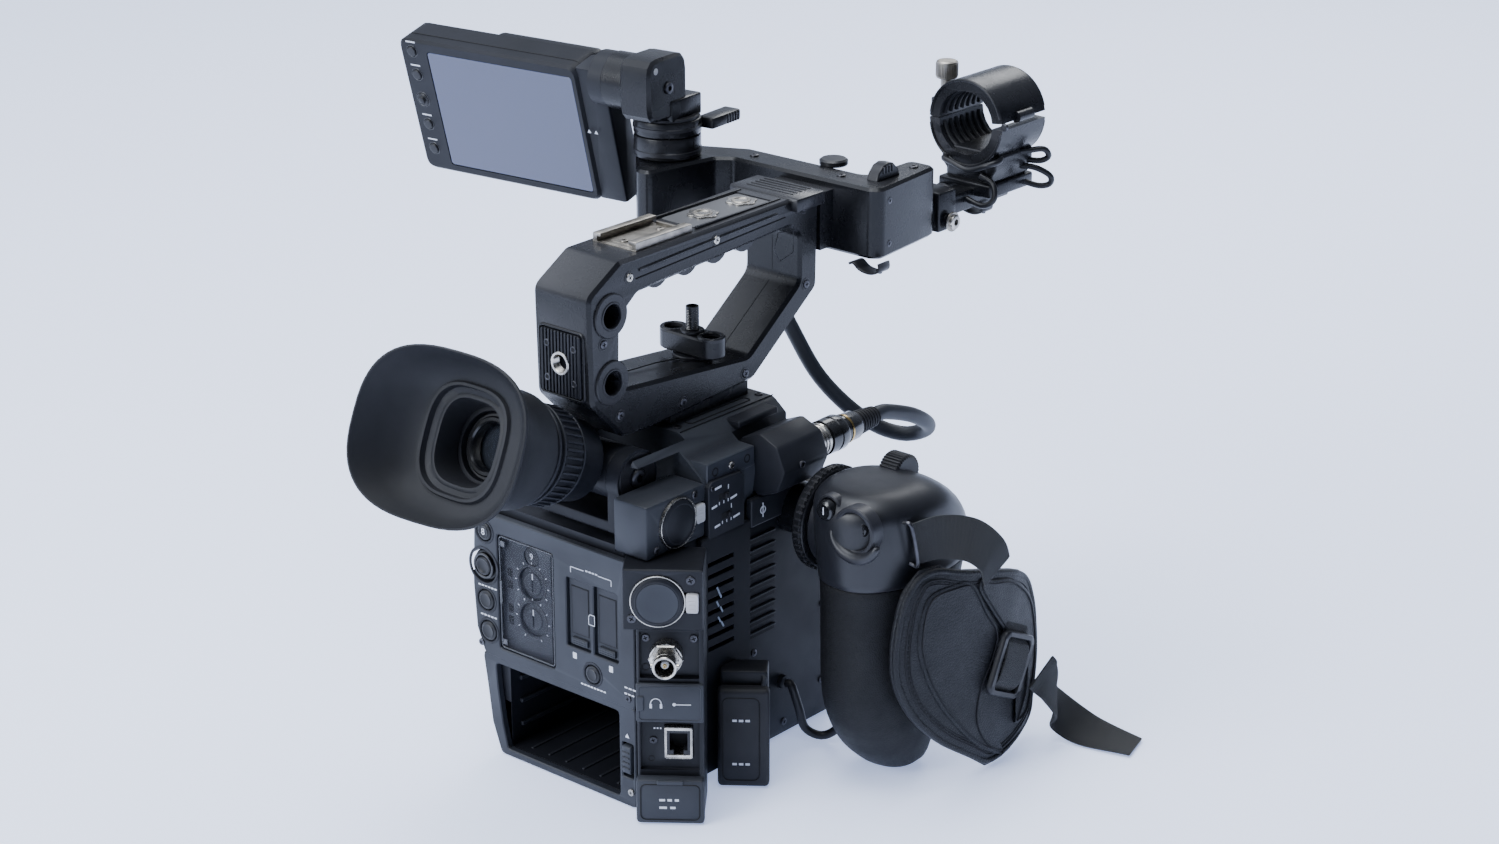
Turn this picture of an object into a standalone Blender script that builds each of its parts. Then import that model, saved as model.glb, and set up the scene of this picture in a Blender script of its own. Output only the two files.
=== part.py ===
"""Cinema camera rig: a modular camera body with top handle, monitor arm, microphone holder,
tilting viewfinder and side grip with its hand strap.

Millimetres in the functions, metres in the scene (MM).  +Z is up, the lens points to -Y, the
operator stands at +Y and the grip is at -X.  The origin is the centre of the camera's foot.
"""

import math

import bmesh
import bpy
from mathutils import Matrix, Vector

MM = 0.001
GAP = 0.3

# Camera body
REAR = 80.0
PANEL = 4.0
BODY_FRONT = -56.0
BODY_RIGHT = -44.0
BODY_TOP = 125.7
BAY_FLOOR, BAY_ROOF = 3.5, 48.5
BAY_RIGHT, BAY_LEFT = -30.0, 43.0
DECK_TOP = 165.0
LENS_AXIS_Z = 82.0

# Connector column, which stands at an angle on the rear right corner
COLUMN_FACE = (-57.9, 75.8)
COLUMN_TURN = 38.0
COLUMN_WIDTH = 30.0
COLUMN_DEPTH = 26.0
COLUMN_TOP = 123.0

# Viewfinder
EYE_PIVOT = (0.0, 60.0, 153.0)
EYE_TILT = 23.0

# Handle
HANDLE_HALF = 17.0
HANDLE_TOP = 250.0
THUMB_Y = -6.0

# Monitor
PAN_AXIS = (74.0, -72.0)
PAN_BASE_Z = 256.3
PAN_ANGLE = 6.0
TILT_AT = (0.0, 14.0, 37.0)
TILT_ANGLE = -15.0
SCREEN_WIDTH, SCREEN_HEIGHT, SCREEN_THICK = 112.0, 74.0, 20.0

# Microphone holder
RING_AT = (-28.0, -194.0, 268.0)
RING_RADIUS = 22.0
RING_BORE = 16.0
RING_LENGTH = 36.0

# Grip
GRIP_AXIS = (-48.0, -26.0, 118.0)

MATERIALS = {
    "body_black": ((0.020, 0.022, 0.028), 0.5, 0.0),
    "panel_slate": ((0.045, 0.050, 0.062), 0.5, 0.0),
    "handle_black": ((0.014, 0.015, 0.018), 0.35, 0.0),
    "button_black": ((0.012, 0.012, 0.014), 0.45, 0.0),
    "rubber_black": ((0.016, 0.016, 0.018), 0.75, 0.0),
    "worn_steel": ((0.42, 0.40, 0.36), 0.35, 1.0),
    "nickel": ((0.62, 0.60, 0.56), 0.25, 1.0),
    "tab_grey": ((0.52, 0.51, 0.50), 0.5, 0.0),
    "smoke_plastic": ((0.10, 0.11, 0.13), 0.2, 0.0),
    "sensor_glass": ((0.05, 0.07, 0.10), 0.08, 0.0),
    "cable_grey": ((0.16, 0.17, 0.19), 0.55, 0.0),
    "webbing_black": ((0.010, 0.010, 0.012), 0.85, 0.0),
    "strap_leather": ((0.020, 0.021, 0.026), 0.55, 0.0),
}

TURNS = {
    "z": Matrix.Identity(4),
    "-z": Matrix.Rotation(math.pi, 4, "X"),
    "y": Matrix.Rotation(-math.pi / 2, 4, "X"),
    "-y": Matrix.Rotation(math.pi / 2, 4, "X"),
    "x": Matrix.Rotation(math.pi / 2, 4, "Y"),
    "-x": Matrix.Rotation(-math.pi / 2, 4, "Y"),
}


# ---------------------------------------------------------------- helpers

def clear_scene():
    for obj in list(bpy.data.objects):
        bpy.data.objects.remove(obj, do_unlink=True)


def make_collection(name):
    collection = bpy.data.collections.new(name)
    bpy.context.scene.collection.children.link(collection)
    return collection


def make_materials():
    for name, (colour, roughness, metallic) in MATERIALS.items():
        material = bpy.data.materials.new(name)
        material.use_nodes = True
        shader = material.node_tree.nodes["Principled BSDF"]
        shader.inputs["Base Color"].default_value = (*colour, 1.0)
        shader.inputs["Roughness"].default_value = roughness
        shader.inputs["Metallic"].default_value = metallic


def add_object(name, mesh, material, at=(0, 0, 0), turn=None, parent=None):
    """Puts a mesh in metres into the rig, at a place in millimetres in its parent's frame."""
    obj = bpy.data.objects.new(name, mesh)
    RIG.objects.link(obj)
    mesh.materials.clear()
    mesh.materials.append(bpy.data.materials[material])
    obj.parent = parent
    obj.matrix_local = Matrix.Translation(Vector(at) * MM) @ (turn or Matrix.Identity(4))
    return obj


def frame(name, at, turn=None, parent=None):
    """An empty that carries pieces built in its own frame."""
    empty = bpy.data.objects.new(name, None)
    RIG.objects.link(empty)
    empty.empty_display_size = 0.01
    empty.parent = parent
    empty.matrix_local = Matrix.Translation(Vector(at) * MM) @ (turn or Matrix.Identity(4))
    return empty


def bake(obj):
    """Keeps the shape that the modifiers make, and drops the modifiers."""
    bpy.context.view_layer.update()
    depsgraph = bpy.context.evaluated_depsgraph_get()
    mesh = bpy.data.meshes.new_from_object(obj.evaluated_get(depsgraph))
    old = obj.data
    obj.modifiers.clear()
    obj.data = mesh
    bpy.data.meshes.remove(old)
    return obj


def tidy_mesh(obj, distance=0.002):
    bm = bmesh.new()
    bm.from_mesh(obj.data)
    bmesh.ops.remove_doubles(bm, verts=bm.verts, dist=distance * MM)
    bmesh.ops.recalc_face_normals(bm, faces=bm.faces)
    bm.to_mesh(obj.data)
    bm.free()
    return obj


def combine(target, operation, tools):
    for tool in tools:
        modifier = target.modifiers.new("shape", "BOOLEAN")
        modifier.operation = operation
        modifier.solver = "EXACT"
        modifier.object = tool
    bake(target)
    for tool in tools:
        bpy.data.objects.remove(tool, do_unlink=True)
    return tidy_mesh(target)


def cut(target, *tools):
    return combine(target, "DIFFERENCE", tools)


def join(target, *tools):
    return combine(target, "UNION", tools)


def soften(obj, width, segments=2, angle=40):
    modifier = obj.modifiers.new("edges", "BEVEL")
    modifier.width = width * MM
    modifier.segments = segments
    modifier.limit_method = "ANGLE"
    modifier.angle_limit = math.radians(angle)
    return tidy_mesh(bake(obj))


def block(name, low, high, material="body_black", edge=0.0, segments=2, parent=None, origin=None):
    """A box between two corners, with its origin at its centre unless another is given."""
    low, high = Vector(low), Vector(high)
    centre = (low + high) / 2
    origin = centre if origin is None else Vector(origin)
    bm = bmesh.new()
    bmesh.ops.create_cube(bm, size=1.0)
    bmesh.ops.scale(bm, verts=bm.verts, vec=(high - low) * MM)
    bmesh.ops.translate(bm, verts=bm.verts, vec=(centre - origin) * MM)
    mesh = bpy.data.meshes.new(name)
    bm.to_mesh(mesh)
    bm.free()
    obj = add_object(name, mesh, material, origin, parent=parent)
    return soften(obj, edge, segments) if edge else obj


def rod(name, at, radius, length, axis="z", material="body_black", edge=0.0, sides=24,
        parent=None, radius_end=None):
    """A cylinder or cone that starts at a point and runs along an axis."""
    bm = bmesh.new()
    bmesh.ops.create_cone(bm, cap_ends=True, segments=sides, radius1=radius * MM,
                          radius2=(radius if radius_end is None else radius_end) * MM,
                          depth=length * MM)
    bmesh.ops.translate(bm, verts=bm.verts, vec=(0, 0, length / 2 * MM))
    mesh = bpy.data.meshes.new(name)
    bm.to_mesh(mesh)
    bm.free()
    obj = add_object(name, mesh, material, at, TURNS[axis], parent)
    return soften(obj, edge, 2) if edge else obj


def turned(name, profile, at, axis="z", material="body_black", steps=32, closed=False,
           parent=None):
    """A profile of (radius, height) points turned about its own axis."""
    mesh = bpy.data.meshes.new(name)
    bm = bmesh.new()
    verts = [bm.verts.new((radius * MM, 0, height * MM)) for radius, height in profile]
    for first, second in zip(verts, verts[1:]):
        bm.edges.new((first, second))
    if closed:
        bm.edges.new((verts[-1], verts[0]))
    bm.to_mesh(mesh)
    bm.free()
    obj = add_object(name, mesh, material, at, TURNS[axis], parent)
    screw = obj.modifiers.new("turn", "SCREW")
    screw.steps = screw.render_steps = steps
    screw.use_merge_vertices = True
    screw.merge_threshold = 0.00001
    screw.use_smooth_shade = False
    return tidy_mesh(bake(obj))


def rounded(points, radius, steps=2):
    """The outline with every corner turned into an arc."""
    outline = []
    count = len(points)
    for index in range(count):
        corner = Vector(points[index])
        before = Vector(points[index - 1]) - corner
        after = Vector(points[(index + 1) % count]) - corner
        half = before.angle(after) / 2
        reach = min(radius / math.tan(half), before.length * 0.45, after.length * 0.45)
        start = corner + before.normalized() * reach
        end = corner + after.normalized() * reach
        for step in range(steps + 1):
            t = step / steps
            outline.append(((1 - t) ** 2 * start + 2 * t * (1 - t) * corner + t ** 2 * end)[:])
    return outline


def rectangle(centre, width, height, radius=0.0, steps=2):
    u, v = centre
    points = [(u - width / 2, v - height / 2), (u + width / 2, v - height / 2),
              (u + width / 2, v + height / 2), (u - width / 2, v + height / 2)]
    return rounded(points, radius, steps) if radius else points


# A plate's outline lies in the plane square to its facing axis: (y, z), (x, z) or (x, y).
PLANES = {
    "x": Matrix(((0, 0, 1, 0), (1, 0, 0, 0), (0, 1, 0, 0), (0, 0, 0, 1))),
    "y": Matrix(((1, 0, 0, 0), (0, 0, -1, 0), (0, 1, 0, 0), (0, 0, 0, 1))),
    "z": Matrix.Identity(4),
}


def plate(name, outlines, low, high, facing, material="body_black", edge=0.0, parent=None,
          origin=None):
    """Flat outlines, the first solid and the others holes, drawn out from low to high."""
    curve = bpy.data.curves.new(name, "CURVE")
    curve.dimensions = "2D"
    curve.fill_mode = "BOTH"
    curve.extrude = ((high - low) / 2 - edge) * MM
    curve.bevel_depth = edge * MM
    curve.bevel_resolution = 0
    curve.offset = -edge * MM
    for outline in outlines:
        spline = curve.splines.new("POLY")
        spline.points.add(len(outline) - 1)
        for point, (u, v) in zip(spline.points, outline):
            point.co = (u * MM, v * MM, 0, 1)
        spline.use_cyclic_u = True
    guide = bpy.data.objects.new(name + "_outline", curve)
    RIG.objects.link(guide)
    bpy.context.view_layer.update()
    depsgraph = bpy.context.evaluated_depsgraph_get()
    mesh = bpy.data.meshes.new_from_object(guide.evaluated_get(depsgraph))
    bpy.data.objects.remove(guide, do_unlink=True)
    middle = {"x": Vector(((low + high) / 2, 0, 0)), "y": Vector((0, (low + high) / 2, 0)),
              "z": Vector((0, 0, (low + high) / 2))}[facing]
    origin = Vector(origin) if origin is not None else middle
    mesh.transform(PLANES[facing])
    mesh.transform(Matrix.Translation((middle - origin) * MM))
    obj = add_object(name, mesh, material, origin, parent=parent)
    return tidy_mesh(obj, 0.01)


def smooth_path(points, spacing):
    """Points at even spacing on a smooth curve through the given points."""
    points = [Vector(point) for point in points]
    ends = [2 * points[0] - points[1]] + points + [2 * points[-1] - points[-2]]
    dense = []
    for a, b, c, d in zip(ends, ends[1:], ends[2:], ends[3:]):
        for step in range(24):
            t = step / 24
            dense.append(0.5 * (2 * b + (c - a) * t + (2 * a - 5 * b + 4 * c - d) * t * t
                                + (3 * b - a - 3 * c + d) * t ** 3))
    dense.append(points[-1])
    lengths = [0.0]
    for first, second in zip(dense, dense[1:]):
        lengths.append(lengths[-1] + (second - first).length)
    count = max(2, round(lengths[-1] / spacing))
    path, index = [], 0
    for step in range(count + 1):
        wanted = lengths[-1] * step / count
        while index < len(dense) - 2 and lengths[index + 1] < wanted:
            index += 1
        share = (wanted - lengths[index]) / (lengths[index + 1] - lengths[index])
        path.append(dense[index].lerp(dense[index + 1], min(share, 1.0)))
    return path


def tube(name, path, radius, material, parent=None, resolution=2, cyclic=False):
    """A round wire or hose along a path."""
    curve = bpy.data.curves.new(name, "CURVE")
    curve.dimensions = "3D"
    curve.bevel_depth = radius * MM
    curve.bevel_resolution = resolution
    curve.use_fill_caps = not cyclic
    spline = curve.splines.new("POLY")
    spline.points.add(len(path) - 1)
    for point, place in zip(spline.points, path):
        point.co = (*(Vector(place) * MM), 1)
    spline.use_cyclic_u = cyclic
    guide = bpy.data.objects.new(name + "_route", curve)
    RIG.objects.link(guide)
    bpy.context.view_layer.update()
    depsgraph = bpy.context.evaluated_depsgraph_get()
    mesh = bpy.data.meshes.new_from_object(guide.evaluated_get(depsgraph))
    bpy.data.objects.remove(guide, do_unlink=True)
    obj = add_object(name, mesh, material, parent=parent)
    return tidy_mesh(obj)


def skin(name, rings, material, parent=None, origin=(0, 0, 0)):
    """A closed body through rings of points, each with the same count, capped at both ends."""
    bm = bmesh.new()
    origin = Vector(origin)
    loops = [[bm.verts.new((Vector(p) - origin) * MM) for p in ring] for ring in rings]
    count = len(loops[0])
    for low, high in zip(loops, loops[1:]):
        for index in range(count):
            after = (index + 1) % count
            bm.faces.new((low[index], low[after], high[after], high[index]))
    bm.faces.new(list(reversed(loops[0])))
    bm.faces.new(loops[-1])
    mesh = bpy.data.meshes.new(name)
    bm.to_mesh(mesh)
    bm.free()
    return tidy_mesh(add_object(name, mesh, material, origin, parent=parent))


def oval(centre, half_x, half_y, z, power=2.3, count=28):
    """A superellipse in a level plane."""
    ring = []
    for index in range(count):
        angle = 2 * math.pi * index / count
        c, s = math.cos(angle), math.sin(angle)
        ring.append((centre[0] + half_x * math.copysign(abs(c) ** (2 / power), c),
                     centre[1] + half_y * math.copysign(abs(s) ** (2 / power), s), z))
    return ring


# ---------------------------------------------------------------- camera body

def column_frame():
    return frame("column_frame", (*COLUMN_FACE, 0), Matrix.Rotation(math.radians(COLUMN_TURN), 4, "Z"))


def column_room():
    """The space that the connector column takes out of the body's rear corner."""
    base = column_frame()
    half = COLUMN_WIDTH / 2
    inner = -half - 30, -COLUMN_DEPTH - GAP
    rooms = [block("room", (*inner, -5), (half + GAP, 20, COLUMN_TOP + 20), parent=base),
             block("room", (*inner, 93.4), (half + 5.5 + GAP, 20, COLUMN_TOP + 20), parent=base)]
    for room in rooms:
        bpy.context.view_layer.update()
        place = room.matrix_world.copy()
        room.parent = None
        room.matrix_world = place
    bpy.data.objects.remove(base, do_unlink=True)
    return rooms


def body_shell():
    side = rounded([(45.5, 0), (50.5, 14), (53.5, 32), (56, 50), (61, 74), (61, BODY_TOP),
                    (BODY_RIGHT, BODY_TOP), (BODY_RIGHT, 0)], 5)
    body = plate("body_shell", [side], BODY_FRONT, REAR - PANEL - GAP, "y", edge=0.0)
    bay = block("bay", (BAY_RIGHT, 12, BAY_FLOOR), (BAY_LEFT, REAR + 5, BAY_ROOF))
    throat = rod("throat", (0, BODY_FRONT - 5, LENS_AXIS_Z), 25, 40, "y", sides=40)
    cards = block("cards", (-31.5, 66, 70), (2.5, REAR, 104))
    input_room = block("input_room", (-60, 37.7, COLUMN_TOP), (-25.7, 90, 130))
    cut(body, *column_room(), bay, throat, cards, input_room)
    return join(body, rod("gland", (BODY_RIGHT + 1, -18, 30), 3.4, 3.6, "-x", sides=16))


def rear_panel():
    outline = rounded([(55, 49.5), (60, 62), (61.5, 84), (60.5, 104), (59.5, 121.5), (-37.5, 121.5),
                       (-37.5, 95), (-40.4, 92), (-40.4, 49.5)], 3)
    window = rectangle((27.2, 84), 36, 58, 2)
    slots = [rectangle((x, 87), 14.8, 34, 1) for x in (-6.0, -23.0)]
    panel = plate("rear_panel", [outline, window] + slots, REAR - PANEL, REAR, "y", "panel_slate",
                  edge=0.5)
    holes = [rod("hole", (x, REAR - PANEL - 1, z), radius, 6, "y", sides=20)
             for x, z, radius in ((52, 62, 5.4), (53, 77.5, 5.4), (54, 94.5, 8.4), (53, 112, 4.9),
                                  (-14.5, 60, 4.9))]
    return cut(panel, *holes, *column_room())


def dial_well():
    """The tray behind the clear door, with the two level dials and a button."""
    tray = block("audio_well", (8.4, 64, 54.2), (46, REAR - 3.2, 113.8))
    body = bpy.data.objects["body_shell"]
    cut(body, block("well", (8.1, 63.7, 53.9), (46.3, REAR, 114.1)))
    dials = [rod("hole", (26, 70, z), 8.3, 20, "y") for z in (92, 74)]
    button = rod("hole", (26, 69, 105.5), 4.8, 20, "y")
    hinge_room = block("hinge_room", (8.9, 75.2, 54.8), (13.8, 90, 113.2))
    cut(tray, *dials, button, hinge_room)
    join(bpy.data.objects["rear_panel"], tray)
    for index, z in enumerate((92, 74)):
        dial = turned("audio_dial_%d" % (index + 1),
                      [(0, 6.2), (5.2, 6.2), (5.6, 5.6), (7.6, 5.2), (8, 4.8), (8, 0), (0, 0)],
                      (26, 70.3, z), "y", "button_black", 24)
        cut(dial, block("slot", (25.4, 75.6, z - 4), (26.6, 80, z + 4)))
    rod("button_9", (26, 70.3, 105.5), 4.5, 6.2, "y", "button_black", 0.4)
    door = plate("audio_door", [rectangle((27.2, 84), 35, 57, 1.5)], REAR - 2.7, REAR - 1.1, "y",
                 "smoke_plastic", 0.3, origin=(11.3, REAR - 1.9, 84))
    hinges = [rod("barrel", (11.3, REAR - 1.7, z), 1.3, 4.0, "z", sides=12) for z in (57, 107)]
    tabs = [block("tab", (40, REAR - 2.5, z), (43.5, REAR - 0.3, z + 3.4)) for z in (57.5, 107)]
    join(door, *hinges, *tabs)


def card_doors():
    for index, x in enumerate((-6.0, -23.0)):
        door = plate("card_door_%d" % (index + 1), [rectangle((x, 87), 14, 33.2, 0.8)],
                     REAR - 3.4, REAR - 1.8, "y", "panel_slate", 0.3,
                     origin=(x, REAR - 2.6, 102.4))
        join(door, block("lip", (x - 5, REAR - 2.4, 71.4), (x + 5, REAR - 0.4, 75), edge=0.7))


def rear_buttons():
    places = {"button_menu": (52, 62, 5.1), "button_cancel": (53, 77.5, 5.1),
              "button_8": (53, 112, 4.6), "button_slot_select": (-14.5, 60, 4.6)}
    body = bpy.data.objects["body_shell"]
    for name, (x, z, radius) in places.items():
        cut(body, rod("bore", (x, REAR - 9, z), radius + GAP, 10, "y", sides=20))
        turned(name, [(0, 8.8), (radius - 1.6, 8.9), (radius - 0.5, 8.6), (radius, 7.8),
                      (radius, 0), (0, 0)], (x, REAR - 8.3, z), "y", "button_black", 20)
    cut(body, rod("bore", (54, REAR - 9, 94.5), 8.1, 10, "y", sides=24))
    turned("rear_joystick", [(0, 8.6), (2.6, 8.6), (3.6, 9.2), (4.4, 9.0), (5.2, 7.4), (7.2, 7.0),
                             (7.8, 6.2), (7.8, 0), (0, 0)], (54, REAR - 8.3, 94.5), "y",
           "button_black", 24)


def battery_parts():
    lever = block("battery_release_lever", (-38.2, REAR - 3.2, 17), (-32.4, REAR + 1.2, 31),
                  "button_black", 1.0)
    guard = rounded([(46.5, 0), (52, 15), (54.5, 34), (57, 50.5), (-40.2, 50.5), (-40.2, 0)], 2.5)
    opening = rounded([(42, 3.5), (45, 16), (47.5, 34), (48.5, 46.4), (-30, 46.4), (-30, 3.5)], 2)
    lever_slot = rectangle((-35.3, 23.2), 6.6, 17.4, 0.6)
    surround = plate("surround", [guard, opening, lever_slot], REAR - PANEL, REAR - 0.2, "y", edge=0.5)
    cut(surround, *column_room())
    join(bpy.data.objects["rear_panel"], surround)
    return lever


def top_deck():
    outline = rounded([(-43, BODY_TOP + GAP), (-45.5, 148), (-24, DECK_TOP), (24, DECK_TOP),
                       (48, 152), (58, BODY_TOP + GAP)], 6)
    deck = plate("top_deck", [outline], -36.6, 66, "y", "body_black", 1.2)
    eye_room = block("eye_room", (-27, 30, 128), (27, 70, 190))
    input_room = block("input_room", (-60, 37.7, 120), (-25.7, 90, 160))
    terminal_room = block("terminal_room", (-70, -40, 120), (-31, 2.4, 175))
    foot = block("foot", (-13.3, -30.3, DECK_TOP - 4), (13.3, 24.3, DECK_TOP + 5))
    cut(deck, eye_room, input_room, foot, terminal_room)
    strip = plate("strip", [rectangle((19.5, 152), 33, 10, 1.5)], -45.5, -30, "x", edge=0.5)
    return join(deck, strip)


def side_panels():
    outline = rounded([(42, 122.6), (42, 4), (8, 4), (8, 122.6)], 2)
    panel = plate("right_side_panel", [outline], BODY_RIGHT - 3.5, BODY_RIGHT - GAP, "x",
                  "body_black", 0.6)
    slats = [block("slat", (BODY_RIGHT - 10, 20, z), (BODY_RIGHT + 3, 38, z + 2.2))
             for z in range(66, 112, 6)]
    return cut(panel, *slats)


def lens_mount():
    fixed = turned("lens_mount", [(24.7, 0), (24.7, 14), (27, 14), (27, 16.5), (33.5, 16.5),
                                  (36, 14), (37, 6), (37, 0)],
                   (0, BODY_FRONT - GAP, LENS_AXIS_Z), "-y", "body_black", 36, closed=True)
    ring = turned("lens_lock_ring", [(33.9, 16.8), (33.9, 20.5), (35, 21.8), (38.6, 21.8), (39.6, 20.6),
                                     (39.6, 9), (37.4, 9), (37.4, 14.8), (36.5, 16.8)],
                  (0, BODY_FRONT - GAP, LENS_AXIS_Z), "-y", "button_black", 36, closed=True)
    lugs = [block("lug", (-5, -77, LENS_AXIS_Z + side * 43 - 4.5), (5, -69, LENS_AXIS_Z + side * 43 + 4.5),
                  edge=1.5) for side in (-1, 1)]
    join(ring, *lugs)
    rod("sensor_glass", (0, BODY_FRONT + 35 - 0.3, LENS_AXIS_Z), 21, 2.0, "-y", "sensor_glass",
        sides=32)
    return fixed


# ---------------------------------------------------------------- connectors

def connector_column():
    base = column_frame()
    half = COLUMN_WIDTH / 2
    outline = rounded([(-half, -COLUMN_DEPTH), (half, -COLUMN_DEPTH), (half, -1), (half - 1, 0),
                       (-half + 2, 0), (-half, -2)], 1)
    column = plate("connector_column", [outline], 0.5, COLUMN_TOP, "z", "body_black", 0.5,
                   parent=base)
    recesses = [
        block("bnc_seat", (-13, -3, 70), (13.5, 5, 92.8), parent=base),
        block("socket_seat", (-13, -2.4, 24.5), (13.5, 5, 48.5), parent=base),
        block("cover_seat", (-13.5, -9, 50.5), (13.5, 5, 66.5), parent=base),
        block("power_seat", (-12, -9, 3.5), (12, 5, 20.5), parent=base),
        rod("xlr_well", (5.0, -12, 108), 12.2, 20, "y", parent=base, sides=28),
        rod("bnc_hole", (1.5, -12, 81), 5.2, 20, "y", parent=base, sides=20),
        block("ethernet_hole", (-10.1, -15, 30.2), (2.9, 5, 46.3), parent=base),
        block("tab_room", (-13.4, -3.4, 102.6), (-6.4, 5, 112.4), parent=base),
    ]
    head_outline = rounded([(-half, -COLUMN_DEPTH + 1), (half + 5.5, -COLUMN_DEPTH + 1),
                            (half + 5.5, 0.8), (-half, 0.8)], 1)
    head = plate("head", [head_outline], 93.8, COLUMN_TOP, "z", edge=0.6, parent=base)
    join(column, head)
    cut(column, *recesses)
    turned("input_2_cap", [(0, 3.4), (10.2, 3.4), (11.5, 2.6), (11.9, 1.2), (11.9, -6), (0, -6)],
           (5.0, 0, 108), "y", "body_black", 32, parent=base)
    tab = plate("push_tab_2", [rectangle((-10.3, 107.5), 5.6, 9, 1.2)], -1.6, 2.6, "y", "tab_grey", 0.3,
                parent=base)
    bnc_profile = [(0, -8), (4.9, -8), (4.9, -3), (7.4, -2.7), (7.4, 3.5), (5.4, 4), (5.4, 12.6),
                   (5.0, 13), (4.4, 13), (4.4, 4), (1.3, 4), (1.3, 10), (0, 10)]
    bnc = turned("bnc_socket", bnc_profile, (1.5, 0, 81), "y", "nickel", 28, parent=base)
    bayonet = [rod("lug", (1.5 + side * 5.0, 10, 81), 0.9, 1.3, "x" if side > 0 else "-x", sides=10,
                   parent=base) for side in (-1, 1)]
    join(bnc, *bayonet)
    ethernet = block("ethernet_socket", (-9.8, -14, 30.5), (2.6, 0.4, 46), "nickel", parent=base)
    cut(ethernet, block("port", (-8.8, -11, 32.3), (1.6, 3, 44.2), parent=base))
    cover = block("headphone_usb_cover", (-15.2, 0.3, 49.2), (15.2, 2.4, 68.4), "rubber_black", 0.9,
                  parent=base, origin=(-15.2, 0.3, 58.8))
    join(cover, block("plug", (-11, -7.5, 53), (11, 1.5, 64), parent=base))
    power = block("dc_in_cover", (-15.4, 0.3, 0.4), (15.4, 6.4, 22.6), "rubber_black", 1.6,
                  parent=base, origin=(-15.4, 0.3, 11.7))
    join(power, block("plug", (-10, -7.5, 6), (10, 2, 18), parent=base))
    return tab


def signal_cover():
    """The tall remote and monitor-output cover on the lower right side."""
    post = frame("signal_frame", (-61, 29, 0), Matrix.Rotation(math.radians(COLUMN_TURN), 4, "Z"))
    room = (BODY_RIGHT - 3.8, -40, -5), (BODY_RIGHT + 60, 90, 90)
    base = block("signal_block", (-11, -17, 2), (11, -3.2, 56), "body_black", 1.2, parent=post)
    cut(base, block("port", (-6, -12, 12), (6, 0, 46), parent=post),
        block("panel_room", (BODY_RIGHT - 2, -40, -5), (BODY_RIGHT + 60, 90, 90)))
    join(bpy.data.objects["right_side_panel"], base)
    cover = block("signal_cover", (-12, -2.9, 0.4), (12, 4.6, 50), "rubber_black", 2.2, 3, parent=post,
                  origin=(-12, -2.9, 25))
    return cut(cover, block("panel_room", *room))


def input_one():
    box = block("input_1_box", (-46, 38, COLUMN_TOP + GAP), (-26, 77, 149), "body_black", 1.4)
    well = rod("xlr_well", (-34, 57, 136), 11.7, 20, "-x", sides=28)
    tab_room = block("tab_room", (-50, 39.0, 131), (-41.6, 45.3, 141))
    cut(box, well, tab_room)
    turned("input_1_cap", [(0, 2.4), (9.6, 2.4), (11, 1.6), (11.4, 0.2), (11.4, -6), (0, -6)],
           (-46, 57, 136), "-x", "body_black", 32)
    plate("push_tab_1", [rectangle((42.2, 136), 5.6, 9, 1.2)], -47.6, -43.4, "x", "tab_grey", 0.3)
    return box


# ---------------------------------------------------------------- viewfinder

def viewfinder():
    mount = block("viewfinder_mount", (-25.5, 34, 128.3), (25.5, 72, 134), "body_black", 1.0)
    cheeks = [rod("cheek", (side * 18.0, EYE_PIVOT[1], EYE_PIVOT[2]), 13, 7.2, "x" if side > 0 else "-x",
                  sides=32) for side in (-1, 1)]
    webs = [block("web", (min(side * 18.2, side * 25), 48, 129), (max(side * 18.2, side * 25), 72, 152))
            for side in (-1, 1)]
    join(mount, *cheeks, *webs)
    tilt = frame("viewfinder_pivot", EYE_PIVOT, Matrix.Rotation(math.radians(EYE_TILT), 4, "X"))
    barrel = rod("viewfinder_barrel", (-17.4, 0, 0), 12.5, 34.8, "x", "body_black", 1.0, 28, tilt)
    neck = rod("neck", (0, 4, 0), 13, 20, "y", sides=28, parent=tilt)
    tube_part = turned("tube", [(0, 73), (18.6, 73), (18.6, 69), (22.5, 67), (24, 63), (24, 52), (22.6, 50),
                                (22.6, 48), (21.6, 34), (20, 30), (18.5, 17), (15, 14), (0, 14)],
                       (0, 0, 0), "y", steps=32, parent=tilt)
    join(barrel, neck, tube_part)
    cut(barrel, rod("eye_bore", (0, 55, 0), 15.5, 30, "y", sides=28, parent=tilt))
    return tilt


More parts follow.
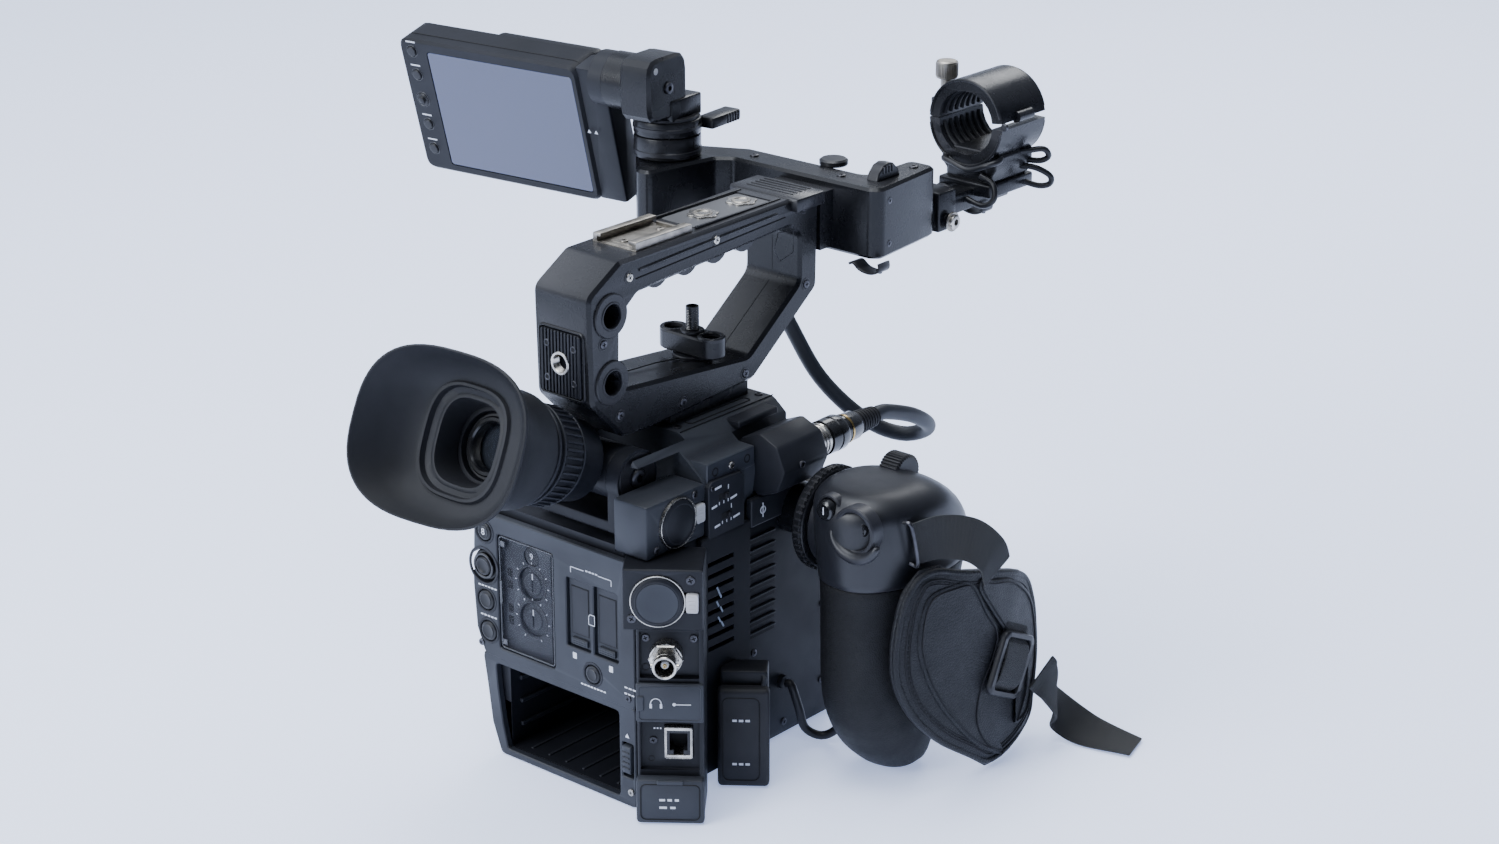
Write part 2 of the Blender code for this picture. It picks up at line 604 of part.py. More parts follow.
def eyecup(tilt):
    """A flared rubber cup, wider on one side, on the end of the viewfinder."""
    def ring(depth, half_x, half_z, power, shift_x=0.0, shift_z=0.0, lean=0.0, count=28):
        points = []
        for index in range(count):
            angle = 2 * math.pi * index / count
            c, s = math.cos(angle), math.sin(angle)
            x = shift_x + half_x * math.copysign(abs(c) ** (2 / power), c)
            z = shift_z + half_z * math.copysign(abs(s) ** (2 / power), s)
            points.append((x, depth + lean * x / 38, z))
        return points

    outer = [ring(57.3, 26.4, 26.4, 2.0), ring(69, 26.8, 26.8, 2.1), ring(80, 29, 29, 2.4),
             ring(90, 34, 33, 2.6, 1, 0, 4), ring(102, 40, 38, 2.7, 3, 0, 11)]
    inner = [ring(103.2, 38.6, 36.7, 2.7, 3, 0, 11), ring(93, 31.5, 31, 2.6, 1, 0, 4),
             ring(88, 25, 26, 2.6), ring(87, 17, 19, 2.6), ring(73.3, 16.6, 16.6, 2.2),
             ring(73.3, 24.2, 24.2, 2.0), ring(68.5, 24.4, 24.4, 2.0), ring(57.3, 24.4, 24.4, 2.0)]
    rings = outer + inner
    bm = bmesh.new()
    loops = [[bm.verts.new(Vector(p) * MM) for p in points] for points in rings]
    count = len(loops[0])
    for low, high in zip(loops, loops[1:] + loops[:1]):
        for index in range(count):
            after = (index + 1) % count
            bm.faces.new((low[index], low[after], high[after], high[index]))
    mesh = bpy.data.meshes.new("eyecup")
    bm.to_mesh(mesh)
    bm.free()
    tidy_mesh(add_object("eyecup", mesh, "rubber_black", parent=tilt))


# ---------------------------------------------------------------- handle

def handle():
    outer = rounded([(60, 170), (79.5, 190), (80.5, 240), (60, HANDLE_TOP + 2), (-60, HANDLE_TOP + 4),
                     (-77, HANDLE_TOP + 4), (-76, 207), (-30, 173), (40, 169)], 6, 4)
    opening = rounded([(61, 193), (60, 226), (48, 235), (-56, 241), (-63, 235), (-63, 212),
                       (-26, 185)], 7, 4)
    body = plate("handle_frame", [outer, opening], -HANDLE_HALF, HANDLE_HALF, "x", "handle_black", 1.6)
    foot = block("foot", (-13, -30, DECK_TOP - 3.6), (13, 24, 176))
    bumps = [rod("bump", (-11, y, 240.5 + (20 - y) * 0.04), 8.5, 22, "x", sides=20)
             for y in (30, 10, -10, -30)]
    shoulders = block("shoulders", (-21, -77, 248), (21, -56, 254.8), edge=1.4)
    join(body, foot, *bumps, shoulders)
    sockets = [rod("socket", (-HANDLE_HALF - 5, 67, z), 5.5, 12, "x", sides=20) for z in (229, 198)]
    plate_seat = block("plate_seat", (-12.3, 76.2, 192), (12.3, 84, 222))
    shoe_seat = block("shoe_seat", (-13.3, 8, HANDLE_TOP + 0.5), (13.3, 46, HANDLE_TOP + 8))
    screw_hole = rod("screw_hole", (0, THUMB_Y, 160), 4.0, 40, "z", sides=20)
    inlay = block("inlay", (-11, -50, HANDLE_TOP + 3.0), (11, 4, HANDLE_TOP + 8))
    cut(body, *sockets, plate_seat, shoe_seat, screw_hole, inlay)
    grips = plate("handle_rear_plate", [rectangle((0, 207), 24, 29, 1.2)], 76.5, 81.5, "y",
                  "body_black", 0.3)
    ribs = [block("groove", (x - 0.45, 80.7, 190), (x + 0.45, 84, 224)) for x in range(-10, 11, 2)]
    cut(grips, *ribs, rod("thread", (0, 77.6, 207), 4.6, 6, "y", sides=20))
    return body


def cold_shoe():
    base = HANDLE_TOP + 0.8
    shoe = block("cold_shoe", (-13, 8.3, base), (13, 45.7, base + 1.8), "worn_steel")
    rails = []
    for side in (-1, 1):
        low, high = sorted((side * 13, side * 10.6))
        rails.append(block("wall", (low, 8.5, base + 1), (high, 45.5, base + 5.2)))
        low, high = sorted((side * 12.9, side * 8.4))
        rails.append(block("lip", (low, 8.5, base + 3.8), (high, 45.5, base + 5.6), edge=0.3))
    land = block("land", (-8.1, 9.5, base + 1.2), (8.1, 44.5, base + 2.0))
    return join(shoe, land, *rails)


def thumb_screw():
    """The two-lobed screw that holds the handle down, standing on the lower bar."""
    at = (0.0, THUMB_Y, 189.5)
    outline = []
    for side, lobe in ((1, 1), (-1, -1)):
        for step in range(9):
            angle = math.radians(-80 + 20 * step) + (0 if side > 0 else math.pi)
            outline.append((lobe * 11 + 7 * math.cos(angle), 7 * math.sin(angle)))
    knob = plate("handle_thumb_screw", [outline], 0.0, 9.5, "z", "handle_black", 0.8, origin=(0, 0, 0))
    knob.location = Vector(at) * MM
    hollows = [rod("hollow", (at[0] + side * 11.5, at[1], at[2] + 3), 4.4, 10, "z", sides=20)
               for side in (-1, 1)]
    stud = rod("stud", (at[0], at[1], at[2] + 4), 3.1, 18, "z", sides=20)
    shank = rod("shank", (at[0], at[1], 172.5), 3.5, 20, "z", sides=20)
    cut(knob, *hollows)
    return join(knob, stud, shank)


# ---------------------------------------------------------------- monitor arm and monitor

def monitor_arm():
    """Cranked bracket across the handle's front end, from the monitor post to the microphone arm."""
    low, high = 221.5, 256.0
    pan_x, pan_y = PAN_AXIS
    plan = rounded([(pan_x - 14, -42), (pan_x - 7, -42), (pan_x + 11, -61), (pan_x + 17, -70),
                    (pan_x + 17, -86), (50, -106), (-22, -106), (-22, -140), (-38, -140), (-43, -92),
                    (-38, -88), (46, -88), (53, -82)], 5, 4)
    arm = plate("monitor_arm", [plan], low, high, "z", "handle_black", 1.4)
    recess = block("recess", (-14, -160, 226), (44, -101, 252))
    cut(arm, recess)
    pad = block("pad", (-16.5, -90, 224), (16.5, -78.4, 252))
    join(arm, pad)
    return arm


def mic_arm():
    bar = block("mic_arm", (-34, -206, 226), (-22, -140.3, 236), "handle_black", 1.2)
    clamp = block("clamp", (-37, -158, 221), (-20, -144, 241), edge=1.2)
    cup = block("cup", (-44, -212, 232), (-12, -176, 239), edge=1.2)
    screw = rod("screw", (-36, -151, 226), 3.4, 5, "-x", sides=16)
    return join(bar, clamp, cup, screw)


def mic_holder():
    x, y, z = RING_AT
    rear = y + RING_LENGTH / 2

    def half_ring(name, start, sweep, material, origin=None):
        count = 12
        points = [(x + RING_RADIUS * math.cos(math.radians(start + sweep * i / count)),
                   z + RING_RADIUS * math.sin(math.radians(start + sweep * i / count)))
                  for i in range(count + 1)]
        points += [(x + RING_BORE * math.cos(math.radians(start + sweep * (1 - i / count))),
                    z + RING_BORE * math.sin(math.radians(start + sweep * (1 - i / count))))
                   for i in range(count + 1)]
        return plate(name, [points], rear - RING_LENGTH, rear, "y", material, 0.0, origin=origin)

    hinge = (x - RING_RADIUS - 1.5, y, z)
    upper = half_ring("mic_holder_upper", 1, 171, "handle_black", hinge)
    ear = block("ear", (x + RING_RADIUS - 4, y - 8, z + 0.4), (x + RING_RADIUS + 7, y + 8, z + 6.4),
                edge=0.8)
    ridge = rod("ridge", (x - RING_RADIUS + 0.6, y - RING_LENGTH / 2 + 12, z + 4.2), 2.8, RING_LENGTH - 24,
                "y", sides=14)
    join(upper, ear, ridge)
    cut(upper, rod("screw_hole", (x + RING_RADIUS + 3.4, y, z - 5), 2.4, 30, "z", sides=16))
    lower = half_ring("mic_holder_lower", 181, 178, "handle_black")
    lower_ear = block("ear", (x + RING_RADIUS - 4, y - 8, z - 8), (x + RING_RADIUS + 7, y + 8, z - 0.4),
                      edge=0.8)
    base = block("base", (x - 12, y - 16, z - 28.7), (x + 12, y + 16, z - RING_RADIUS + 4), edge=1.0)
    join(lower, lower_ear, base)
    cut(lower, rod("bore", (x, y - 30, z), RING_BORE, 60, "y", sides=24),
        rod("screw_hole", (x + RING_RADIUS + 3.4, y, z - 12), 3.1, 30, "z", sides=16))
    screw = turned("mic_clamp_screw", [(0, 24), (4.6, 24), (5.4, 23.4), (5.4, 15.4), (4.6, 15), (3.0, 15),
                                       (3.0, 7), (2.1, 7), (2.1, -4.8), (0, -4.8)],
                   (x + RING_RADIUS + 3.4, y, z), "z", "worn_steel", 20)
    return screw


def monitor():
    x, y = PAN_AXIS
    rod("monitor_pan_base", (x, y, PAN_BASE_Z), 16.4, 11, "z", "handle_black", 0.8, 36)
    pan = frame("pan_frame", (x, y, PAN_BASE_Z), Matrix.Rotation(math.radians(PAN_ANGLE), 4, "Z"))
    lever = rod("monitor_lock_lever", (0, 0, 11.3), 16.6, 7.6, "z", "handle_black", 0.8, 36, pan)
    join(lever, block("paddle", (-20, -34, 12.4), (-10, -10, 18.2), edge=1.4, parent=pan))
    tilt_at = Vector(TILT_AT)
    neck = block("monitor_neck", (-12, -12, 19.2), (12, 12, 30), "handle_black", 1.0, parent=pan)
    head_outline = rectangle((tilt_at.y, tilt_at.z), 31, 31, 8, 3)
    head = plate("head", [head_outline], -11, 7, "x", edge=1.6, parent=pan)
    axle = rod("axle", (5, tilt_at.y, tilt_at.z), 14, 14.0, "x", sides=32, parent=pan)
    join(neck, head, axle)
    tilt = frame("tilt_frame", tilt_at, Matrix.Rotation(math.radians(TILT_ANGLE), 4, "X"), pan)
    top, bottom = 9.0, 9.0 - SCREEN_HEIGHT
    left = 35.0
    front = 11.0
    middle = (top + bottom) / 2
    case_outline = rectangle((left + SCREEN_WIDTH / 2, middle), SCREEN_WIDTH, SCREEN_HEIGHT, 6, 4)
    case = plate("monitor_housing", [case_outline], front - SCREEN_THICK, front, "y", "body_black", 1.4,
                 parent=tilt, origin=(0, 0, 0))
    strip = block("strip", (20, front - 17, bottom + 1), (left + 2, front - 1.5, top - 0.5), edge=1.6,
                  parent=tilt)
    knuckle = rod("knuckle", (19.4, 0, 0), 13.6, 8, "x", sides=32, parent=tilt)
    swell = block("swell", (left + 2, front - 27, bottom + 6), (left + 66, front - 15, top - 2), edge=3,
                  parent=tilt)
    join(case, strip, knuckle, swell)
    seat = plate("seat", [rectangle((left + 49, middle - 0.5), 91, 64, 2)], front - 1.2, front + 4, "y",
                 parent=tilt)
    cut(case, seat)
    return pan


# ---------------------------------------------------------------- terminal, cables

def video_terminal():
    """The faceted terminal housing on the right shoulder, with the monitor cable's plug."""
    x, z = -47.0, 147.0
    housing = rod("video_terminal", (x, 2, z), 15.5, 32, "-y", "body_black", 1.4, 8)
    root = block("root", (x + 2, -28.5, z - 14.2), (-31.3, 0.6, z + 7.7), edge=1.0)
    join(housing, root)
    cut(housing, rod("socket", (x, -20, z), 8.4, 20, "-y", sides=32))
    ring = turned("video_plug", [(0, -8), (7.9, -8), (7.9, 8), (7.2, 8.5), (7.2, 12), (8.6, 12.4), (8.6, 24),
                                 (8.0, 25), (7.4, 25), (7.0, 27), (7.0, 36), (6.0, 37), (5.6, 50), (5.0, 52),
                                 (0, 52)],
                  (x, -30.2, z), "-y", "rubber_black", 28)
    return ring


VIDEO_ROUTE = [(-47.0, -82.8, 147.0), (-47, -91, 146.6), (-47, -112, 139), (-44, -129, 129),
               (-36, -137, 121), (-25, -135, 117), (-14, -127, 121), (-3, -117, 132), (8, -107, 149),
               (19, -101, 171), (30, -97, 193), (36, -96, 209), (37, -96, 221.1)]
GRIP_ROUTE = [(-47.8, -18, 30), (-50.4, -18.1, 29.6), (-53.5, -20, 18), (-55, -23, 7), (-61, -28, 3),
              (-67, -32, 7), (-70.5, -34, 16.2), (-74.2, -34, 17)]


def cables():
    tube("video_cable", smooth_path(VIDEO_ROUTE, 9), 3.8, "cable_grey")
    tube("grip_cable", smooth_path(GRIP_ROUTE, 5), 2.1, "rubber_black")


# ---------------------------------------------------------------- grip and strap

GRIP_LEVELS = [
    # height, rear y, front y, half width, centre x
    (0.5, -27, -42, 9, -99), (5.0, -18, -50, 15, -99), (20, -3, -54, 20, -99), (42, 7, -58, 22.5, -99),
    (72, 9, -64, 23.5, -99), (96, 9, -71, 25, -99), (114, 10, -74, 26.5, -98.5), (129, 10, -66, 27, -98),
    (140, 8, -52, 25, -97), (146, 1, -38, 18, -95),
]


def grip():
    rings = [oval((x, (rear + front) / 2), half, (rear - front) / 2, z)
             for z, rear, front, half, x in GRIP_LEVELS]
    body = skin("grip_body", rings, "rubber_black", origin=GRIP_AXIS)
    hub = rod("hub", (-69.6, GRIP_AXIS[1], GRIP_AXIS[2]), 21, 16, "-x", sides=28)
    gland = rod("gland", (-75, -34, 17), 3.4, 12, "-x", sides=16)
    join(body, hub, gland)
    return body


def grip_controls():
    """Index button, joystick, dial and record button, each standing out of the moulded grip."""
    body = bpy.data.objects["grip_body"]
    seats = [rod("joystick_seat", (-108, -9, 133), 8.8, 30, "y", sides=24),
             rod("button_seat", (-92, -3, 139), 5.2, 20, "y", sides=20),
             block("dial_seat", (-97, -55, 131), (-85, -35, 160)),
             rod("record_seat", (-97, -57, 122), 6.4, 30, "-y", sides=20)]
    cut(body, *seats)
    stick_profile = [(0, 13.5), (3.0, 13.5), (4.4, 13.9), (5.4, 12.8), (8.0, 12), (8.4, 11), (8.4, 0),
                     (0, 0)]
    turned("grip_joystick", stick_profile, (-108, -7.5, 133), "y", "button_black", 24)
    turned("grip_button", [(0, 12.2), (3.6, 12.2), (4.8, 11.4), (4.8, 0), (0, 0)], (-92, -1.5, 139), "y",
           "button_black", 20)
    rod("grip_dial", (-96.5, -45, 141), 9.4, 11, "x", "button_black", 0.6, 24)
    turned("grip_record_button", [(0, 14.5), (4.6, 14.5), (6, 13.4), (6, 0), (0, 0)],
           (-97, -58.5, 122), "-y", "button_black", 20)


def band(name, path, across, width, thickness, material):
    """A flat strap: rings across a path, each turned so that its width lies along `across`."""
    rings = []
    for index, place in enumerate(path):
        place = Vector(place)
        after = Vector(path[min(index + 1, len(path) - 1)])
        before = Vector(path[max(index - 1, 0)])
        along = (after - before).normalized()
        share = index / (len(path) - 1)
        side = Vector(across[0]).lerp(Vector(across[1]), share)
        side = (side - along * side.dot(along)).normalized()
        up = along.cross(side)
        rings.append([place + side * (u * width / 2) + up * (v * thickness / 2)
                      for u, v in ((-1, -1), (1, -1), (1, 1), (-1, 1))])
    return skin(name, rings, material)


# Height, rear y and front y of the strap pad's outline
PAD_LEVELS = [(1.2, -56, -68), (10, -44, -94), (24, -24, -99), (40, -9, -102), (58, 0, -100), (75, 2, -95),
              (92, 0, -82), (103, -3, -52), (110, -8, -28), (114, -12, -22)]


def pad_x(y):
    """How far out the pad's middle surface stands at a place along the grip."""
    return -136.0 + 12.0 * ((y + 58.0) / 60.0) ** 2


def hand_strap():
    rings = []
    for z, rear, front in PAD_LEVELS:
        places = [rear + (front - rear) * i / 8 for i in range(9)]
        outer = [(pad_x(y) - 3.4, y, z) for y in places]
        inner = [(pad_x(y) + 3.4, y, z) for y in reversed(places)]
        rings.append(outer + inner)
    skin("hand_strap_pad", rings, "strap_leather")
    upper = smooth_path([(-126, -12, 125.5), (-132.5, -23, 127), (-141, -34, 124.5), (-146, -43, 116),
                         (-146, -48, 106)], 5)
    band("hand_strap_webbing", upper, ((0, 0, 1), (0, -1, 0.1)), 20, 1.6, "webbing_black")
    buckle = block("strap_buckle", (-142.6, -78, 36), (-139.7, -54, 66), "button_black", 0.8)
    slots = [block("slot", (-150, -75, low), (-130, -57, low + 8)) for low in (53, 40)]
    cut(buckle, *slots)
    band("hand_strap_tail", smooth_path(TAIL_ROUTE, 7), ((0, 0.35, 1), (0.3, -0.95, 0)), 19, 1.5,
         "webbing_black")


TAIL_ROUTE = [(-147.5, -84, 43), (-148, -90, 36), (-147, -97, 26), (-143, -104, 16), (-147, -109, 9),
              (-158, -112, 4.6), (-180, -118, 1.3)]


def rosette():
    profile = [(0, 25), (23, 25), (25, 23.6), (25, 20), (24, 19), (12.5, 18.7), (12.5, 0), (0, 0)]
    return turned("grip_rosette", profile, (BODY_RIGHT - GAP, GRIP_AXIS[1], GRIP_AXIS[2]), "-x",
                  "handle_black", 40)


def build():
    body_shell()
    rear_panel()
    dial_well()
    card_doors()
    rear_buttons()
    battery_parts()
    top_deck()
    side_panels()
    lens_mount()
    connector_column()
    signal_cover()
    input_one()
    tilt = viewfinder()
    eyecup(tilt)
    handle()
    cold_shoe()
    thumb_screw()
    monitor_arm()
    mic_arm()
    mic_holder()
    monitor()
    video_terminal()
    cables()
    rosette()
    grip()
    grip_controls()
    hand_strap()


clear_scene()
RIG = make_collection("cinema_camera_rig")
make_materials()
build()
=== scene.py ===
"""Looks for the cinema camera rig: materials, cords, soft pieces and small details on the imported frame.

Helpers work in millimetres and place every mesh in the shared frame, in metres.
"""

import math

import bmesh
import bpy
from mathutils import Matrix, Vector


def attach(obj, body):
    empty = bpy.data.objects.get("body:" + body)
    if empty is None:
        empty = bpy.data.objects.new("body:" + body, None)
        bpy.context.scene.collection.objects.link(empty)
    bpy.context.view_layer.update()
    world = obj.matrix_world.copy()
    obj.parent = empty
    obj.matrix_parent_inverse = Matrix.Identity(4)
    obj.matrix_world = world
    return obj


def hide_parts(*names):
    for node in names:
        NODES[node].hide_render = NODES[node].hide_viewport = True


MM = 0.001
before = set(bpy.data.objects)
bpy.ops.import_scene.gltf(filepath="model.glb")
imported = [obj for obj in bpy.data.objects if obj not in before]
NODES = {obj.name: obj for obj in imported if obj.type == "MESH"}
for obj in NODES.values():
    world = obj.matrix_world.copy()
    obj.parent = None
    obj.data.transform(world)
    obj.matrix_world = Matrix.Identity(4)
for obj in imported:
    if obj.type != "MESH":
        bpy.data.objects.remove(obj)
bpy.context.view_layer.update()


# ---------------------------------------------------------------- materials

def shader_of(name):
    material = bpy.data.materials.new(name)
    material.use_nodes = True
    return material, material.node_tree, material.node_tree.nodes["Principled BSDF"]


def link(tree, source, target):
    tree.links.new(source, target)


def noise(tree, coords, scale, detail=4.0, rough=0.55, stretch=None):
    node = tree.nodes.new("ShaderNodeTexNoise")
    node.inputs["Scale"].default_value = scale
    node.inputs["Detail"].default_value = detail
    node.inputs["Roughness"].default_value = rough
    if stretch:
        mapping = tree.nodes.new("ShaderNodeMapping")
        mapping.inputs["Scale"].default_value = stretch
        link(tree, coords, mapping.inputs["Vector"])
        coords = mapping.outputs["Vector"]
    link(tree, coords, node.inputs["Vector"])
    return node.outputs["Fac"]


def cells(tree, coords, scale, feature="DISTANCE_TO_EDGE"):
    node = tree.nodes.new("ShaderNodeTexVoronoi")
    node.feature = feature
    node.inputs["Scale"].default_value = scale
    link(tree, coords, node.inputs["Vector"])
    return node.outputs["Distance"]


def remap(tree, value, low, high, to_low, to_high):
    node = tree.nodes.new("ShaderNodeMapRange")
    for socket, number in zip(("From Min", "From Max", "To Min", "To Max"), (low, high, to_low, to_high)):
        node.inputs[socket].default_value = number
    link(tree, value, node.inputs["Value"])
    return node.outputs["Result"]


def mix(tree, factor, first, second):
    node = tree.nodes.new("ShaderNodeMix")
    node.data_type = "RGBA"
    link(tree, factor, node.inputs["Factor"])
    for socket, colour in ((node.inputs[6], first), (node.inputs[7], second)):
        if isinstance(colour, tuple):
            socket.default_value = (*colour, 1.0)
        else:
            link(tree, colour, socket)
    return node.outputs[2]


def bump(tree, shader, height, strength, distance):
    node = tree.nodes.new("ShaderNodeBump")
    node.inputs["Strength"].default_value = strength
    node.inputs["Distance"].default_value = distance
    link(tree, height, node.inputs["Height"])
    if shader.inputs["Normal"].is_linked:
        link(tree, shader.inputs["Normal"].links[0].from_socket, node.inputs["Normal"])
    link(tree, node.outputs["Normal"], shader.inputs["Normal"])


def worn_edges(tree, base, wear, amount):
    """Paler paint where an edge stands out."""
    point = tree.nodes.new("ShaderNodeNewGeometry").outputs["Pointiness"]
    edge = remap(tree, point, 0.52, 0.60, 0.0, amount)
    return mix(tree, edge, base, wear)


def moulded(name, base, rough, grain=2600, depth=0.00006, strength=0.35, spread=0.25, wear=None, metal=0.0,
            coat=0.0, shine=0.34):
    """Moulded plastic, paint or rubber: fine grain, slow changes of shade and roughness, worn edges."""
    material, tree, shader = shader_of(name)
    coords = tree.nodes.new("ShaderNodeTexCoord").outputs["Object"]
    slow = noise(tree, coords, 22, 3)
    dark = tuple(c * (1 - spread) for c in base)
    light = tuple(min(1, c * (1 + spread)) for c in base)
    colour = mix(tree, remap(tree, slow, 0.35, 0.65, 0, 1), dark, light)
    if wear:
        colour = worn_edges(tree, colour, wear, 0.55)
    link(tree, colour, shader.inputs["Base Color"])
    smudge = noise(tree, coords, 60, 5)
    link(tree, remap(tree, smudge, 0.3, 0.7, rough - 0.06, rough + 0.08), shader.inputs["Roughness"])
    shader.inputs["Metallic"].default_value = metal
    shader.inputs["Specular IOR Level"].default_value = shine
    shader.inputs["Coat Weight"].default_value = coat
    shader.inputs["Coat Roughness"].default_value = 0.25
    bump(tree, shader, noise(tree, coords, grain, 2), strength, depth)
    return material


def metal(name, base, rough, scratches=(1, 1, 1), wear=0.5):
    material, tree, shader = shader_of(name)
    coords = tree.nodes.new("ShaderNodeTexCoord").outputs["Object"]
    lines = noise(tree, coords, 900, 6, 0.7, scratches)
    patch = noise(tree, coords, 120, 5)
    dark = tuple(c * (1 - wear) for c in base)
    link(tree, mix(tree, remap(tree, patch, 0.35, 0.65, 0, 1), dark, base), shader.inputs["Base Color"])
    link(tree, remap(tree, lines, 0.25, 0.75, rough - 0.1, rough + 0.15), shader.inputs["Roughness"])
    shader.inputs["Metallic"].default_value = 1.0
    bump(tree, shader, lines, 0.25, 0.00004)
    return material


def hide(name, base, rough, cell=900, depth=0.00022, strength=0.6):
    """Leather or leather-textured skin: a net of fine creases over a soft grain."""
    material, tree, shader = shader_of(name)
    coords = tree.nodes.new("ShaderNodeTexCoord").outputs["Object"]
    crease = cells(tree, coords, cell)
    valley = remap(tree, crease, 0.0, 0.18, 0.0, 1.0)
    dark = tuple(c * 0.45 for c in base)
    link(tree, mix(tree, valley, dark, base), shader.inputs["Base Color"])
    link(tree, remap(tree, noise(tree, coords, 70, 4), 0.3, 0.7, rough - 0.08, rough + 0.08),
         shader.inputs["Roughness"])
    bump(tree, shader, noise(tree, coords, 3200, 3), 0.25, 0.00005)
    bump(tree, shader, valley, strength, depth)
    shader.inputs["Specular IOR Level"].default_value = 0.26
    return material


def clear(name, base, rough, alpha, tint=0.0, shine=0.5):
    material, tree, shader = shader_of(name)
    coords = tree.nodes.new("ShaderNodeTexCoord").outputs["Object"]
    smear = noise(tree, coords, 45, 4)
    link(tree, remap(tree, smear, 0.3, 0.7, rough, rough + 0.08), shader.inputs["Roughness"])
    link(tree, mix(tree, smear, base, tuple(c * 0.8 for c in base)), shader.inputs["Base Color"])
    shader.inputs["Alpha"].default_value = alpha
    shader.inputs["Specular IOR Level"].default_value = shine
    shader.inputs["Coat Weight"].default_value = tint
    return material


def woven(name, base, rib):
    """Nylon webbing: close ribs across the strap with a fine thread in each."""
    material, tree, shader = shader_of(name)
    uv = tree.nodes.new("ShaderNodeTexCoord").outputs["UV"]
    wave = tree.nodes.new("ShaderNodeTexWave")
    wave.bands_direction = "Y"
    wave.inputs["Scale"].default_value = rib
    wave.inputs["Distortion"].default_value = 0.4
    link(tree, uv, wave.inputs["Vector"])
    thread = tree.nodes.new("ShaderNodeTexWave")
    thread.bands_direction = "X"
    thread.inputs["Scale"].default_value = rib * 1.4
    thread.inputs["Distortion"].default_value = 0.6
    link(tree, uv, thread.inputs["Vector"])
    height = mix(tree, thread.outputs["Fac"], (0.0, 0.0, 0.0), wave.outputs["Color"])
    dark = tuple(c * 0.4 for c in base)
    link(tree, mix(tree, wave.outputs["Fac"], dark, base), shader.inputs["Base Color"])
    shader.inputs["Roughness"].default_value = 0.8
    shader.inputs["Sheen Weight"].default_value = 0.12
    bump(tree, shader, height, 0.8, 0.0003)
    return material


M = {
    "body": moulded("moulded_black", (0.0090, 0.0098, 0.0130), 0.42, 2200, wear=(0.035, 0.037, 0.045),
                    shine=0.20),
    # Slate-grey panel colour; laid on the top deck, its lighter tone is painted sheen for the grazing
    # reflection on the deck's top.
    "slate_and_deck_sheen": moulded("moulded_slate_and_deck_sheen", (0.0190, 0.0215, 0.0285), 0.46, 2400, wear=(0.05, 0.055, 0.065)),
    "handle": moulded("cast_paint_black", (0.0060, 0.0064, 0.0080), 0.26, 1300, 0.00016, 0.5, coat=0.05,
                      wear=(0.05, 0.05, 0.055), shine=0.24),
    "button": moulded("satin_black", (0.0070, 0.0074, 0.0092), 0.36, 3000, wear=(0.025, 0.025, 0.03)),
    "rubber": moulded("rubber_black", (0.0085, 0.0090, 0.0115), 0.60, 3400, 0.00005, 0.5,
                      wear=(0.02, 0.02, 0.025)),
    "cover": moulded("rubber_slate", (0.0200, 0.0222, 0.0290), 0.56, 3400, 0.00005, 0.5,
                     wear=(0.05, 0.055, 0.065)),
    "grip": moulded("grip_shell", (0.0095, 0.0102, 0.0135), 0.36, 3000, wear=(0.03, 0.03, 0.036), shine=0.42),
    "grip_skin": hide("grip_leatherette", (0.0050, 0.0054, 0.0070), 0.55, 1100),
    "leather": hide("strap_leather", (0.0085, 0.0092, 0.0120), 0.46, 700),
    "tab": moulded("tab_grey", (0.42, 0.42, 0.43), 0.5, 2600),
    "steel": metal("worn_steel", (0.46, 0.43, 0.38), 0.38, (1, 12, 1)),
    "nickel": metal("nickel_plate", (0.66, 0.63, 0.57), 0.24),
    "dark_steel": metal("blackened_steel", (0.10, 0.10, 0.11), 0.36),
    "gold": metal("gold_plate", (0.70, 0.50, 0.20), 0.25),
    "smoke": clear("smoke_plastic", (0.060, 0.063, 0.080), 0.34, 0.10, shine=0.1),
    "glass": clear("coated_glass", (0.008, 0.010, 0.016), 0.03, 1.0, 1.0),
    "cable": moulded("cable_grey", (0.024, 0.027, 0.035), 0.48, 1500, 0.00005, 0.3, 0.12),
    "cord": moulded("cord_black", (0.014, 0.014, 0.017), 0.42, 1800, 0.00005, 0.3, 0.12),
    "webbing": woven("webbing_black", (0.0105, 0.0110, 0.0135), 120),
    "white": moulded("mark_white", (0.62, 0.64, 0.70), 0.5, 2600, spread=0.05),
    "void": moulded("dark_inside", (0.004, 0.004, 0.005), 0.7, 1800),
    "blue": clear("screen_edge_blue", (0.016, 0.026, 0.085), 0.05, 1.0, 1.0),
    "screen": clear("screen_face", (0.22, 0.21, 0.29), 0.16, 1.0, 0.5),
    "gloss": moulded("gloss_black", (0.0060, 0.0062, 0.0075), 0.16, 1500, 0.00003, 0.2, coat=0.5),
    "plate": moulded("inlay_worn", (0.055, 0.056, 0.062), 0.38, 1600, 0.00008, 0.5, wear=(0.2, 0.2, 0.2)),
    "soft_rubber": moulded("soft_rubber", (0.0100, 0.0108, 0.0140), 0.58, 3600, 0.00004, 0.4, 0.18),
    "lens": clear("eyepiece_glass", (0.03, 0.035, 0.045), 0.03, 0.75, 1.0),
    "thread": moulded("sewn_thread", (0.012, 0.012, 0.015), 0.75, 4000),
    "smoke_edge": clear("smoke_edge", (0.035, 0.038, 0.045), 0.12, 0.85, 0.5),
    "residue": moulded("glue_residue", (0.22, 0.26, 0.32), 0.6, 2600),
    "red": moulded("record_red", (0.25, 0.02, 0.015), 0.4, 2600),
}

